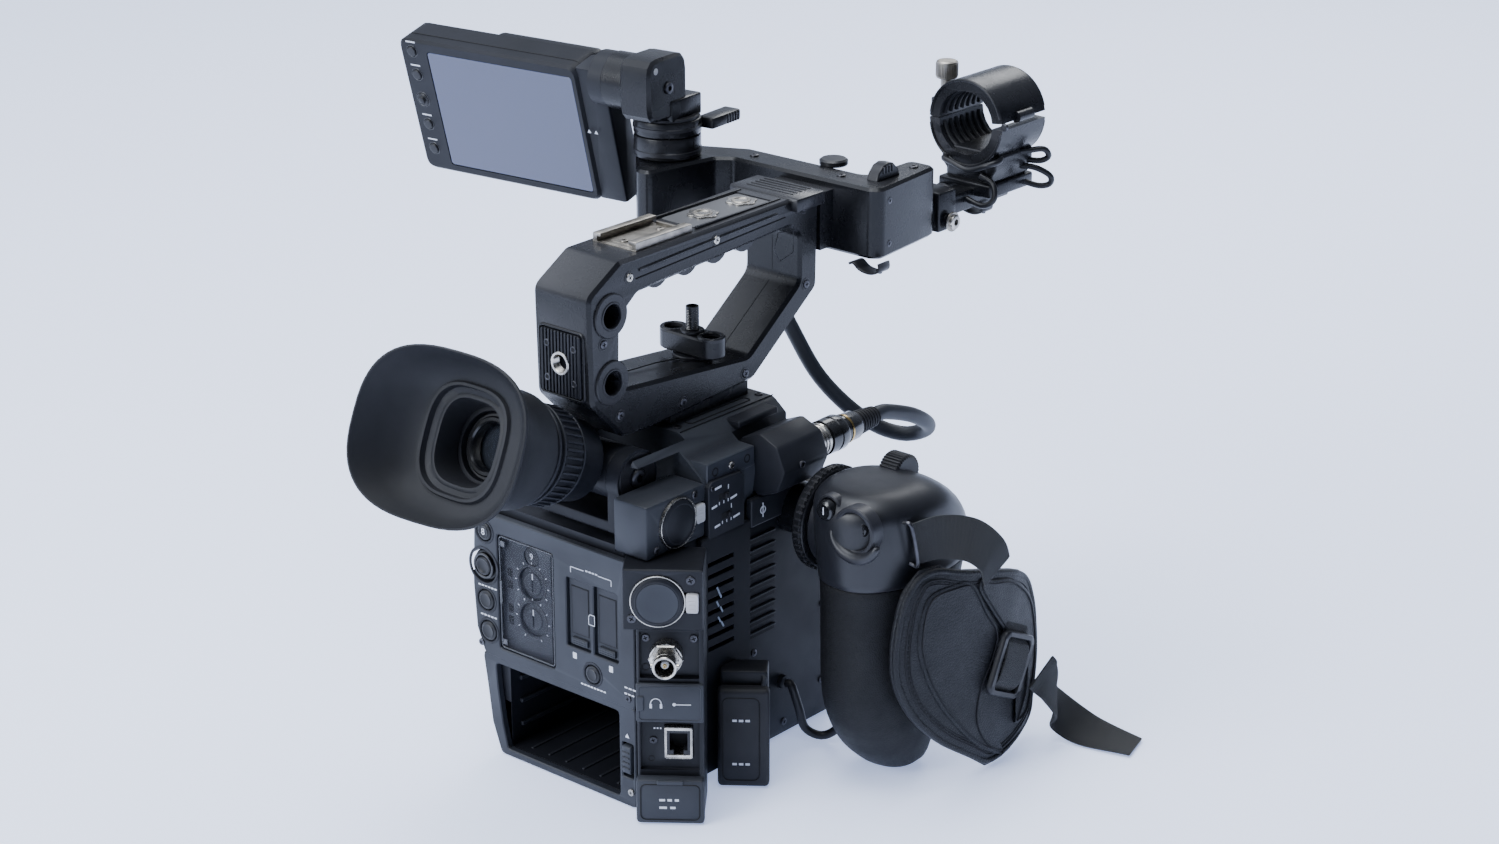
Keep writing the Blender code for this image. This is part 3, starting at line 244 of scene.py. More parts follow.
NODE_MATERIAL = {
    "body": "body_shell connector_column input_1_cap input_2_cap lens_mount right_side_panel "
            "video_terminal viewfinder_barrel viewfinder_mount handle_rear_plate monitor_housing",
    # top_deck wears the lighter slate as painted sheen, standing in for the grazing reflection on the deck's
    # top; the other parts here are slate-grey.
    "slate_and_deck_sheen": "top_deck rear_panel card_door_1 card_door_2 input_1_box battery_release_lever",
    "handle": "handle_frame handle_thumb_screw monitor_arm mic_arm mic_holder_lower mic_holder_upper "
              "monitor_neck monitor_pan_base monitor_lock_lever grip_rosette",
    "button": "button_8 button_9 button_cancel button_menu button_slot_select "
              "rear_joystick grip_button grip_dial grip_joystick grip_record_button lens_lock_ring "
              "strap_buckle video_plug",
    "rubber": "eyecup signal_cover",
    "cover": "headphone_usb_cover dc_in_cover audio_dial_1 audio_dial_2",
    "grip": "grip_body",
    "leather": "hand_strap_pad",
    "webbing": "hand_strap_webbing hand_strap_tail",
    "tab": "push_tab_1 push_tab_2",
    "steel": "cold_shoe mic_clamp_screw",
    "nickel": "bnc_socket ethernet_socket",
    "smoke": "audio_door",
    "glass": "sensor_glass",
    "cable": "video_cable",
    "cord": "grip_cable",
}


def dress_nodes():
    """Each CAD node gets its material, rounded edges and smooth shading."""
    for key, names in NODE_MATERIAL.items():
        for name in names.split():
            node = NODES[name]
            node.data.materials.clear()
            node.data.materials.append(M[key])
            if "custom_normal" in node.data.attributes:
                node.data.attributes.remove(node.data.attributes["custom_normal"])
            node.data.polygons.foreach_set("use_smooth", [True] * len(node.data.polygons))
            weld = node.modifiers.new("weld", "WELD")
            weld.merge_threshold = 0.00002
            edge = node.modifiers.new("edge", "BEVEL")
            edge.width = 0.00028
            edge.segments = 2
            edge.limit_method = "ANGLE"
            edge.angle_limit = math.radians(32)
            edge.use_clamp_overlap = True
            edge.harden_normals = True


# ---------------------------------------------------------------- camera, light and floor

def stage():
    camera_data = bpy.data.cameras.new("camera")
    camera_data.lens = 70.97
    camera_data.sensor_width = 36.0
    camera = bpy.data.objects.new("camera", camera_data)
    bpy.context.scene.collection.objects.link(camera)
    camera.location = (-0.8565, 0.9563, 0.6435)
    camera.rotation_euler = Vector((0.6071, -0.7108, -0.3551)).to_track_quat("-Z", "Y").to_euler()
    bpy.context.scene.camera = camera

    floor_mesh = bpy.data.meshes.new("floor")
    bm = bmesh.new()
    bmesh.ops.create_grid(bm, x_segments=1, y_segments=1, size=6.0)
    bm.to_mesh(floor_mesh)
    bm.free()
    floor = bpy.data.objects.new("floor", floor_mesh)
    floor.location = (0, 0, -0.0003)
    bpy.context.scene.collection.objects.link(floor)
    material, tree, shader = shader_of("floor_pale")
    coords = tree.nodes.new("ShaderNodeTexCoord").outputs["Object"]
    link(tree, mix(tree, noise(tree, coords, 3), (0.80, 0.84, 0.95), (0.83, 0.87, 0.98)),
         shader.inputs["Base Color"])
    shader.inputs["Roughness"].default_value = 0.9
    shader.inputs["Emission Color"].default_value = (0.50, 0.62, 1.0, 1.0)
    shader.inputs["Emission Strength"].default_value = 0.8
    floor_mesh.materials.append(material)

    world = bpy.data.worlds.new("studio")
    world.use_nodes = True
    sky = world.node_tree
    sky.nodes["Background"].inputs["Color"].default_value = (0.68, 0.76, 0.95, 1.0)
    across = sky.nodes.new("ShaderNodeVectorMath")
    across.operation = "DOT_PRODUCT"
    across.inputs[1].default_value = (0.80, -0.05, 0.45)
    link(sky, sky.nodes.new("ShaderNodeTexCoord").outputs["Generated"], across.inputs[0])
    link(sky, remap(sky, across.outputs["Value"], -0.4, 0.8, 0.05, 0.80),
         sky.nodes["Background"].inputs["Strength"])
    bpy.context.scene.world = world
    for name, at, size, energy, colour in (
            ("top", (0.15, 0.15, 1.9), 1.1, 22, (0.90, 0.94, 1.0)),
            ("rear", (0.45, 1.6, 0.9), 0.9, 26, (0.90, 0.94, 1.0)),
            ("rim", (0.5, -1.4, 1.3), 0.8, 12, (0.95, 0.97, 1.0))):
        data = bpy.data.lights.new(name, "AREA")
        data.size = size
        data.energy = energy
        data.color = colour
        lamp = bpy.data.objects.new(name, data)
        lamp.location = at
        lamp.rotation_euler = (Vector((0, 0, 0.12)) - Vector(at)).to_track_quat("-Z", "Y").to_euler()
        bpy.context.scene.collection.objects.link(lamp)
    data = bpy.data.lights.new("room", "SUN")
    data.energy = 2.6
    data.angle = 1.4
    data.color = (0.86, 0.91, 1.0)
    lamp = bpy.data.objects.new("room", data)
    lamp.rotation_euler = Vector((-0.35, -0.45, -1.0)).to_track_quat("-Z", "Y").to_euler()
    bpy.context.scene.collection.objects.link(lamp)


stage()


# ---------------------------------------------------------------- mesh helpers, in millimetres

DETAILS = bpy.data.collections.new("details")
bpy.context.scene.collection.children.link(DETAILS)


def turn_frame(at, degrees, axis="Z"):
    return Matrix.Translation(at) @ Matrix.Rotation(math.radians(degrees), 4, axis)


def axes_frame(at, x_axis, y_axis):
    x_axis, y_axis = Vector(x_axis), Vector(y_axis)
    z_axis = x_axis.cross(y_axis)
    turn = Matrix((x_axis, y_axis, z_axis)).transposed().to_4x4()
    return Matrix.Translation(at) @ turn


def facing(at, normal):
    """A frame whose Z runs along a normal."""
    return Matrix.Translation(at) @ Vector(normal).to_track_quat("Z", "Y").to_matrix().to_4x4()


WORLD = Matrix.Identity(4)
COLUMN = turn_frame((-57.9, 75.8, 0), 38)
SIGNAL = turn_frame((-61, 29, 0), 38)
EYE = turn_frame((0, 60, 153), 23, "X")
PAN = turn_frame((74, -72, 256.3), 6)
SCREEN = axes_frame((72.537, -58.077, 293.3), (0.99452, 0.10453, 0), (-0.10097, 0.96063, -0.25882))


def publish(name, bm, material, body, place=WORLD, bevel=0.0, segments=2, angle=35, smooth=True):
    """Turns a bmesh in millimetres into a piece that rides on a body."""
    bmesh.ops.transform(bm, matrix=Matrix.Scale(MM, 4) @ place, verts=bm.verts)
    bmesh.ops.recalc_face_normals(bm, faces=bm.faces)
    mesh = bpy.data.meshes.new(name)
    bm.to_mesh(mesh)
    bm.free()
    mesh.materials.append(M[material])
    if smooth:
        mesh.polygons.foreach_set("use_smooth", [True] * len(mesh.polygons))
        mesh.set_sharp_from_angle(angle=math.radians(angle))
    obj = bpy.data.objects.new(name, mesh)
    DETAILS.objects.link(obj)
    if bevel:
        edge = obj.modifiers.new("edge", "BEVEL")
        edge.width = bevel * MM
        edge.segments = segments
        edge.limit_method = "ANGLE"
        edge.angle_limit = math.radians(angle)
        edge.harden_normals = True
    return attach(obj, body)


def box(name, low, high, material, body, bevel=0.4, place=WORLD):
    bm = bmesh.new()
    bmesh.ops.create_cube(bm, size=1.0)
    low, high = Vector(low), Vector(high)
    bmesh.ops.scale(bm, verts=bm.verts, vec=high - low)
    bmesh.ops.translate(bm, verts=bm.verts, vec=(low + high) / 2)
    return publish(name, bm, material, body, place, bevel)


def lathe(name, profile, place, material, body, steps=48, closed=False, angle=30):
    """(radius, height) points turned about the frame's Z; a radius of 0 closes the end."""
    bm = bmesh.new()
    rings = []
    for radius, height in profile:
        if radius == 0:
            rings.append([bm.verts.new((0, 0, height))] * steps)
        else:
            rings.append([bm.verts.new((radius * math.cos(2 * math.pi * i / steps),
                                        radius * math.sin(2 * math.pi * i / steps), height))
                          for i in range(steps)])
    pairs = list(zip(rings, rings[1:] + rings[:1])) if closed else list(zip(rings, rings[1:]))
    for first, second in pairs:
        for i in range(steps):
            j = (i + 1) % steps
            corners = []
            for vert in (first[i], first[j], second[j], second[i]):
                if vert not in corners:
                    corners.append(vert)
            if len(corners) > 2:
                bm.faces.new(corners)
    return publish(name, bm, material, body, place, angle=angle)


def ring(name, place, inner, outer, low, high, material, body, steps=48):
    soft = min(outer - inner, high - low) * 0.25
    profile = [(inner, low), (outer, low), (outer, high - soft), (outer - soft, high),
               (inner + soft, high), (inner, high - soft)]
    return lathe(name, profile, place, material, body, steps, closed=True)


def slab(name, outline, low, high, place, material, body, bevel=0.3):
    """An outline in the frame's X and Y, drawn out along its Z."""
    bm = bmesh.new()
    floor = [bm.verts.new((x, y, low)) for x, y in outline]
    roof = [bm.verts.new((x, y, high)) for x, y in outline]
    bm.faces.new(floor)
    bm.faces.new(roof)
    for i in range(len(floor)):
        j = (i + 1) % len(floor)
        bm.faces.new((floor[i], floor[j], roof[j], roof[i]))
    return publish(name, bm, material, body, place, bevel)


def round_rect(centre, width, height, radius, steps=5):
    points = []
    for sx, sy, start in ((1, 1, 0), (-1, 1, 90), (-1, -1, 180), (1, -1, 270)):
        for i in range(steps + 1):
            angle = math.radians(start + 90 * i / steps)
            points.append((centre[0] + sx * (width / 2 - radius) + radius * math.cos(angle),
                           centre[1] + sy * (height / 2 - radius) + radius * math.sin(angle)))
    return points


def smooth_path(points, spacing):
    """Points at even spacing on a smooth curve through the given points."""
    points = [Vector(point) for point in points]
    ends = [2 * points[0] - points[1]] + points + [2 * points[-1] - points[-2]]
    dense = []
    for a, b, c, d in zip(ends, ends[1:], ends[2:], ends[3:]):
        for step in range(24):
            t = step / 24
            dense.append(0.5 * (2 * b + (c - a) * t + (2 * a - 5 * b + 4 * c - d) * t * t
                                + (3 * b - a - 3 * c + d) * t ** 3))
    dense.append(points[-1])
    lengths = [0.0]
    for first, second in zip(dense, dense[1:]):
        lengths.append(lengths[-1] + (second - first).length)
    count = max(2, round(lengths[-1] / spacing))
    path, index = [], 0
    for step in range(count + 1):
        wanted = lengths[-1] * step / count
        while index < len(dense) - 2 and lengths[index + 1] < wanted:
            index += 1
        share = (wanted - lengths[index]) / (lengths[index + 1] - lengths[index])
        path.append(dense[index].lerp(dense[index + 1], min(share, 1.0)))
    return path


def wire(name, path, radius, material, body, place=WORLD, cyclic=False, resolution=6):
    """A round wire, cord or bead along a path, as a curve of one spline."""
    curve = bpy.data.curves.new(name, "CURVE")
    curve.dimensions = "3D"
    curve.bevel_depth = radius * MM
    curve.bevel_resolution = resolution
    curve.use_fill_caps = not cyclic
    spline = curve.splines.new("POLY")
    spline.points.add(len(path) - 1)
    for point, at in zip(spline.points, path):
        point.co = (*((place @ Vector(at)) * MM), 1)
    spline.use_cyclic_u = cyclic
    spline.use_smooth = True
    curve.materials.append(M[material])
    obj = bpy.data.objects.new(name, curve)
    DETAILS.objects.link(obj)
    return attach(obj, body)


def skin(name, rings, material, body, place=WORLD, caps=True, closed=False, subdivide=0, uv=None, bevel=0.0,
         angle=60):
    """A mesh through rings of points, each with the same count; uv gives (u scale, v scale) in mm."""
    bm = bmesh.new()
    loops = [[bm.verts.new(Vector(p)) for p in points] for points in rings]
    count = len(loops[0])
    layer = bm.loops.layers.uv.new("UVMap") if uv else None
    pairs = list(zip(loops, loops[1:] + loops[:1])) if closed else list(zip(loops, loops[1:]))
    far = 0.0
    for low, high in pairs:
        step = (high[0].co - low[0].co).length if uv else 0
        run = 0.0
        for i in range(count):
            j = (i + 1) % count
            face = bm.faces.new((low[i], low[j], high[j], high[i]))
            if uv:
                wide = (low[j].co - low[i].co).length
                for corner, (u, v) in zip(face.loops, ((run, far), (run + wide, far),
                                                       (run + wide, far + step), (run, far + step))):
                    corner[layer].uv = (u * uv, v * uv)
                run += wide
        far += step
    if caps and not closed:
        bm.faces.new(list(reversed(loops[0])))
        bm.faces.new(loops[-1])
    obj = publish(name, bm, material, body, place, bevel, angle=angle)
    if subdivide:
        sub = obj.modifiers.new("subdivide", "SUBSURF")
        sub.levels = sub.render_levels = subdivide
    return obj


def superellipse(half_x, half_y, power, count):
    points = []
    for i in range(count):
        angle = 2 * math.pi * i / count
        c, s = math.cos(angle), math.sin(angle)
        points.append((half_x * math.copysign(abs(c) ** (2 / power), c),
                       half_y * math.copysign(abs(s) ** (2 / power), s)))
    return points


def screw_mesh(kind):
    """A screw head of radius 1 with a cross, hex or star recess."""
    steps = 32
    bm = bmesh.new()
    profile = [(1.0, -0.3), (1.0, 0.18), (0.93, 0.30), (0.78, 0.36), (0, 0.36)]
    rings = []
    for radius, height in profile:
        rings.append([bm.verts.new((radius * math.cos(2 * math.pi * i / steps),
                                    radius * math.sin(2 * math.pi * i / steps), height))
                      for i in range(steps)] if radius else [bm.verts.new((0, 0, height))] * steps)
    bm.faces.new(list(reversed(rings[0])))
    for first, second in zip(rings, rings[1:]):
        for i in range(steps):
            j = (i + 1) % steps
            corners = []
            for vert in (first[i], first[j], second[j], second[i]):
                if vert not in corners:
                    corners.append(vert)
            bm.faces.new(corners)
    bmesh.ops.recalc_face_normals(bm, faces=bm.faces)
    head = bpy.data.objects.new("head", bpy.data.meshes.new("head"))
    bm.to_mesh(head.data)
    bm.free()
    count = {"cross": 8, "hex": 6, "star": 12}[kind]
    bm = bmesh.new()
    if kind == "cross":
        flat = [(0.14, 0.14), (0.14, 0.58), (-0.14, 0.58), (-0.14, 0.14), (-0.58, 0.14), (-0.58, -0.14),
                (-0.14, -0.14), (-0.14, -0.58), (0.14, -0.58), (0.14, -0.14), (0.58, -0.14), (0.58, 0.14)]
    else:
        flat = []
        for i in range(count):
            reach = 0.52 if kind == "hex" or i % 2 else 0.36
            angle = 2 * math.pi * i / count
            flat.append((reach * math.cos(angle), reach * math.sin(angle)))
    low = [bm.verts.new((x * 0.8, y * 0.8, -0.12)) for x, y in flat]
    high = [bm.verts.new((x, y, 0.6)) for x, y in flat]
    bm.faces.new(list(reversed(low)))
    bm.faces.new(high)
    for i in range(len(flat)):
        j = (i + 1) % len(flat)
        bm.faces.new((low[i], low[j], high[j], high[i]))
    bmesh.ops.recalc_face_normals(bm, faces=bm.faces)
    tool = bpy.data.objects.new("tool", bpy.data.meshes.new("tool"))
    bm.to_mesh(tool.data)
    bm.free()
    for obj in (head, tool):
        DETAILS.objects.link(obj)
    cutter = head.modifiers.new("cut", "BOOLEAN")
    cutter.object = tool
    cutter.operation = "DIFFERENCE"
    cutter.solver = "EXACT"
    bpy.context.view_layer.update()
    mesh = bpy.data.meshes.new_from_object(head.evaluated_get(bpy.context.evaluated_depsgraph_get()))
    for obj in (head, tool):
        bpy.data.objects.remove(obj, do_unlink=True)
    return mesh


SCREWS = {}


def screw(name, at, normal, radius, body, material="dark_steel", kind="cross", place=WORLD, turn=20):
    if kind not in SCREWS:
        SCREWS[kind] = screw_mesh(kind)
    bm = bmesh.new()
    bm.from_mesh(SCREWS[kind])
    spin = facing(at, normal) @ Matrix.Rotation(math.radians(turn), 4, "Z") @ Matrix.Scale(radius, 4)
    return publish(name, bm, material, body, place @ spin, angle=28)


def mark(name, start, end, width, normal, body, place=WORLD, material="white"):
    """A thin printed line between two points on a face, 0.06 mm proud."""
    start, end, normal = Vector(start), Vector(end), Vector(normal).normalized()
    along = (end - start).normalized()
    side = along.cross(normal)
    bm = bmesh.new()
    corners = []
    for height in (-0.05, 0.06):
        corners.append([bm.verts.new(p + side * (s * width / 2) + normal * height)
                        for p, s in ((start, -1), (end, -1), (end, 1), (start, 1))])
    bm.faces.new(corners[0])
    bm.faces.new(corners[1])
    for i in range(4):
        j = (i + 1) % 4
        bm.faces.new((corners[0][i], corners[0][j], corners[1][j], corners[1][i]))
    return publish(name, bm, material, body, place, smooth=False)


def digit(name, text, at, x_axis, y_axis, size, body, place=WORLD):
    """A number printed on a key."""
    curve = bpy.data.curves.new(name, "FONT")
    curve.body = text
    curve.size = size * MM
    curve.align_x = curve.align_y = "CENTER"
    curve.extrude = 0.00005
    curve.materials.append(M["white"])
    obj = bpy.data.objects.new(name, curve)
    DETAILS.objects.link(obj)
    home = place @ axes_frame(at, x_axis, y_axis)
    home.translation = home.translation * MM
    obj.matrix_world = home
    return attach(obj, body)


# ---------------------------------------------------------------- cords

VIDEO_ROUTE = [(-47.0, -82.8, 147.0), (-47, -91, 146.6), (-47, -112, 139), (-44, -129, 129), (-36, -137, 121),
               (-25, -135, 117), (-14, -127, 121), (-3, -117, 132), (8, -107, 149), (19, -101, 171),
               (30, -97, 193), (36, -96, 209), (37, -96, 221.1)]
GRIP_ROUTE = [(-47.8, -18, 30), (-50.4, -18.1, 29.6), (-53.5, -20, 18), (-55, -23, 7), (-61, -28, 3),
              (-67, -32, 7),
              (-70.5, -34, 16.2), (-74.2, -34, 17)]


def cords():
    """The monitor cable from its plug into the arm, and the grip's thin cable."""
    for name, route, radius, material, node, body in (
            ("monitor_cable", VIDEO_ROUTE, 3.8, "cable", "video_cable", "camera_body"),
            ("grip_lead", GRIP_ROUTE, 2.1, "cord", "grip_cable", "camera_body")):
        path = smooth_path(route, radius * 0.9)
        cord = wire(name, path, radius, material, body, resolution=10)
        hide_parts(node)
    screw_collar = [(4.3, 0), (6.4, 0), (6.6, 1), (6.2, 4), (5.2, 5.2), (4.2, 5.6)]
    lathe("cable_collar", screw_collar, facing((37, -96, 222.2), (0, 0, -1)), "button", "camera_body",
          closed=True)


# ---------------------------------------------------------------- video terminal and its plug

def video_plug():
    """Worn nickel coupling ring, glossy barrel and ribbed strain relief."""
    home = facing((-47, -30.2, 147), (0, -1, 0))
    coupling = [(0, -7.5), (7.4, -7.5), (7.9, -7)]
    for step in range(5):
        at = 0.5 + step * 2.1
        coupling += [(7.9, at), (7.5, at + 0.3), (7.5, at + 0.8), (7.9, at + 1.1)]
    coupling += [(7.9, 11.6), (7.3, 12.2), (0, 12.2)]
    lathe("video_plug_coupling", coupling, home, "nickel", "camera_body", 64)
    barrel = [(0, 12), (7.4, 12), (8.5, 12.6), (8.6, 18), (8.2, 18.4), (8.2, 19.2), (8.6, 19.6), (8.6, 23.6),
              (8.1, 24.8), (7.2, 25.2), (7.0, 27), (7.0, 35.6), (6.2, 37), (0, 37)]
    main = lathe("video_plug_barrel", barrel, home, "gloss", "camera_body", 64)
    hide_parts("video_plug")
    ring("video_plug_band", home, 6.9, 7.25, 28.2, 29.4, "gold", "camera_body")
    relief = [(0, 36.5), (6.0, 36.5)]
    for step in range(7):
        at, radius = 37.0 + step * 2.05, 6.1 - step * 0.17
        relief += [(radius, at), (radius, at + 1.2), (radius - 0.9, at + 1.4), (radius - 0.9, at + 1.9)]
    relief += [(4.9, 51.6), (4.0, 52), (0, 52)]
    lathe("video_plug_relief", relief, home, "rubber", "camera_body", 48)
    screw("terminal_screw", (-62.3, -10.6, 147.8), (-1, 0, 0), 1.7, "camera_body")
    ring("terminal_lip", facing((-47, -30.0, 147), (0, -1, 0)), 8.5, 11.2, -0.4, 0.9, "body", "camera_body")


# ---------------------------------------------------------------- hand strap

PAD_LEVELS = [(1.2, -56, -68), (10, -44, -94), (24, -24, -99), (40, -9, -102), (58, 0, -100), (75, 2, -95),
              (92, 0, -82), (103, -3, -52), (110, -8, -28), (114, -12, -22)]
TAIL_ROUTE = [(-147.5, -84, 43), (-148, -90, 36), (-147, -97, 26), (-143, -104, 16), (-147, -109, 9),
              (-158, -112, 4.6), (-180, -118, 1.3)]


def pad_edges(z):
    """Rear and front y of the pad at a height, on a smooth line through its levels."""
    levels = PAD_LEVELS
    for index in range(len(levels) - 1):
        if levels[index][0] <= z <= levels[index + 1][0]:
            break
    low, high = levels[index], levels[index + 1]
    t = (z - low[0]) / (high[0] - low[0])
    before, after = levels[max(index - 1, 0)], levels[min(index + 2, len(levels) - 1)]
    edges = []
    for k in (1, 2):
        slope_low = (high[k] - before[k]) / max(high[0] - before[0], 1) * (high[0] - low[0])
        slope_high = (after[k] - low[k]) / max(after[0] - low[0], 1) * (high[0] - low[0])
        h = (2 * t ** 3 - 3 * t ** 2 + 1, t ** 3 - 2 * t ** 2 + t, -2 * t ** 3 + 3 * t ** 2, t ** 3 - t ** 2)
        edges.append(h[0] * low[k] + h[1] * slope_low + h[2] * high[k] + h[3] * slope_high)
    return edges


def pad_x(y):
    return -136.0 + 12.0 * ((y + 58.0) / 60.0) ** 2


def pad_point(u, z, lift):
    """A point on the pad: u 0 rear to 1 front, lift outward from the middle surface."""
    rear, front = pad_edges(z)
    y = rear + (front - rear) * u
    return Vector((pad_x(y) - lift, y, z))


def pad_outline(inset):
    """Points (y, z) round the pad, kept a distance in from its border."""
    zs = [1.2 + (114 - 1.2) * i / 60 for i in range(61)]
    rear = [(pad_edges(z)[0], z) for z in zs]
    front = [(pad_edges(z)[1], z) for z in reversed(zs)]
    side = [Vector(p) for p in rear + front]
    middle = Vector((-52, 56))
    out = []
    total = len(side)
    for i, p in enumerate(side):
        along = side[(i + 2) % total] - side[i - 2]
        inward = Vector((-along.y, along.x)).normalized()
        if inward.dot(middle - p) < 0:
            inward = -inward
        out.append(p + inward * inset)
    smooth = []
    for i in range(total):
        smooth.append((out[i - 2] + out[i - 1] * 2 + out[i] * 3 + out[(i + 1) % total] * 2
                       + out[(i + 2) % total]) / 9)
    return smooth


def on_pad(points, lift):
    return [Vector((pad_x(p.x) - lift, p.x, p.y)) for p in points]


def hand_strap():
    rings = []
    rows, columns = 46, 22
    for r in range(rows + 1):
        share = r / rows
        z = 1.4 + (113.6 - 1.4) * (0.5 - 0.5 * math.cos(math.pi * share)) \
            if 0 < r < rows else (1.4 if r == 0 else 113.6)
        end = min(1.0, (z - 1.2) / 9, (114 - z) / 9) ** 0.5
        outer, inner = [], []
        for c in range(columns + 1):
            u = 0.5 - 0.5 * math.cos(math.pi * c / columns)
            rear, front = pad_edges(z)
            near = min(u, 1 - u) * abs(front - rear)
            puff = (1 - (1 - min(1.0, near / 7.0)) ** 2) ** 0.5 * max(end, 0.25)
            outer.append(pad_point(u, z, 0.6 + 2.6 * puff))
            inner.append(pad_point(u, z, 0.2 - 3.2 * puff))
        rings.append(outer + list(reversed(inner[1:-1])))
    pad = skin("strap_pad", rings, "leather", "grip", angle=70)
    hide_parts("hand_strap_pad")
    wire("strap_piping", on_pad(pad_outline(1.6), 1.6), 1.7, "leather", "grip", cyclic=True)
    for index, inset in enumerate((5.2, 7.4)):
        wire("strap_seam_%d" % index, on_pad(pad_outline(inset), 3.15), 0.35, "thread", "grip", cyclic=True)
    stitches(pad_outline(6.3), 3.5, "strap_stitch")
    flaps()
    webbing()
    buckle()


def stitches(points, lift, name, pitch=2.6):
    """Short sewn threads at even spacing along a closed line on the pad, as one mesh."""
    line = on_pad(points, lift)
    bm = bmesh.new()
    travelled, wanted = 0.0, 0.0
    for a, b in zip(line, line[1:] + line[:1]):
        step = (b - a).length
        while wanted < travelled + step:
            along = (b - a).normalized()
            at = a + along * (wanted - travelled)
            side = along.cross(Vector((-1, 0, 0))).normalized()
            out = Vector((-1, 0, 0))
            ends = []
            for k, bulge in ((-0.8, 0.0), (0.0, 0.35), (0.8, 0.0)):
                centre = at + along * k + out * bulge
                ends.append([bm.verts.new(centre + side * (0.28 * math.cos(q)) + out * (0.28 * math.sin(q)))
                             for q in (0, math.pi / 2, math.pi, 3 * math.pi / 2)])
            for first, second in zip(ends, ends[1:]):
                for i in range(4):
                    bm.faces.new((first[i], first[(i + 1) % 4], second[(i + 1) % 4], second[i]))
            bm.faces.new(ends[0])
            bm.faces.new(ends[-1])
            wanted += pitch
        travelled += step
    publish(name, bm, "thread", "grip")


def panel_on_pad(name, outline, lift, thick, material="leather"):
    """A flat leather piece laid on the pad, with a rolled border; outline is (y, z)."""
    pts = [Vector(p) for p in outline]
    centre = sum(pts, Vector((0, 0))) / len(pts)
    rings = []
    for share, height in ((1.0, -0.2), (1.0, 0.55), (0.985, 0.9), (0.95, 1.0), (0.7, 1.0), (0.4, 1.0),
                          (0.1, 1.0)):
        rings.append([Vector((pad_x((centre + (p - centre) * share).x) - lift - thick * height,
                              (centre + (p - centre) * share).x, (centre + (p - centre) * share).y))
                      for p in pts])
    return skin(name, rings, material, "grip", angle=50)


def flaps():
    """The two crossing leather panels that cover the webbing, with their sewn borders."""
    rear = smooth_closed([(-14, 100), (-30, 103), (-41, 100), (-51, 84), (-60, 70), (-57, 58), (-49, 45),
                          (-47, 30),
                          (-54, 17), (-64, 9), (-66, 4.5), (-50, 13), (-36, 26), (-22, 44), (-13, 62),
                          (-9, 80)])
    front = smooth_closed([(-46, 101), (-54, 98), (-70, 93), (-86, 80), (-93, 66), (-96, 48), (-94, 32),
                           (-88, 18),
                           (-76, 17), (-84, 32), (-82, 50), (-72, 62), (-63, 70), (-52, 84), (-44, 96)])
    panel_on_pad("strap_flap_rear", rear, 3.1, 0.9)
    panel_on_pad("strap_flap_front", front, 3.4, 1.3)
    wire("strap_flap_seam_rear", on_pad(inset_line(rear, 2.0), 4.25), 0.35, "thread", "grip", cyclic=True)
    wire("strap_flap_seam_front", on_pad(inset_line(front, 1.8), 4.9), 0.35, "thread", "grip", cyclic=True)


def smooth_closed(points, each=5):
    out = []
    count = len(points)
    for i in range(count):
        a, b, c, d = (Vector(points[(i + k) % count]) for k in (-1, 0, 1, 2))
        for step in range(each):
            t = step / each
            out.append(0.5 * (2 * b + (c - a) * t + (2 * a - 5 * b + 4 * c - d) * t * t
                              + (3 * b - a - 3 * c + d) * t ** 3))
    return out


def inset_line(points, distance):
    total = len(points)
    area = sum(points[i - 1].x * points[i].y - points[i].x * points[i - 1].y for i in range(total))
    sign = 1 if area > 0 else -1
    out = []
    for i, p in enumerate(points):
        along = (points[(i + 1) % total] - points[i - 1]).normalized()
        out.append(p + Vector((-along.y, along.x)) * distance * sign)
    return out


def band(name, path, across, width, thickness, body, node=None):
    """A webbing strap: an edge-thickened cross-section carried along a path."""
    rings = []
    for index, place in enumerate(path):
        after, before = path[min(index + 1, len(path) - 1)], path[max(index - 1, 0)]
        along = (after - before).normalized()
        rib = 1.0 if index % 2 else 0.66
        share = index / (len(path) - 1)
        side = Vector(across[0]).lerp(Vector(across[1]), share)
        side = (side - along * side.dot(along)).normalized()
        up = along.cross(side)
        section = [(-1, -0.6), (-0.86, -1), (-0.4, -0.8), (0.4, -0.8), (0.86, -1), (1, -0.6),
                   (1, 0.6), (0.86, 1), (0.4, 0.8), (-0.4, 0.8), (-0.86, 1), (-1, 0.6)]
        rings.append([place + side * (u * width / 2) + up * (v * rib * thickness / 2) for u, v in section])
    obj = skin(name, rings, "webbing", body, uv=0.01, angle=50)
    if node:
        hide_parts(node)
    return obj


BUCKLE = axes_frame((-141.4, -65.5, 52), (0, -0.90, -0.44), (0, 0.44, -0.90))


def webbing():
    upper = smooth_path([(-126, -12, 125.5), (-132.5, -23, 127), (-141, -34, 124.5), (-146, -43, 116),
                         (-146, -48, 106)], 0.9)
    band("strap_webbing_upper", upper, ((0, 0, 1), (0, -1, 0.1)), 20, 1.6, "grip", "hand_strap_webbing")
    tail = smooth_path(TAIL_ROUTE, 0.9)
    band("strap_webbing_tail", tail, ((0, 0.35, 1), (0.3, -0.95, 0)), 19, 1.5, "grip", "hand_strap_tail")
    route = [(0, -19, 1.2), (0, -13, 0.2), (0, -9.5, -2.6), (0, -3, -3.6), (0, 2, -3.7), (0, 8, -3.0),
             (0, 12, 0)]
    through = smooth_path([BUCKLE @ Vector(p) for p in route], 0.9)
    band("strap_webbing_middle", through, ((0, -0.90, -0.44), (0, -0.90, -0.44)), 18.4, 1.3, "grip")


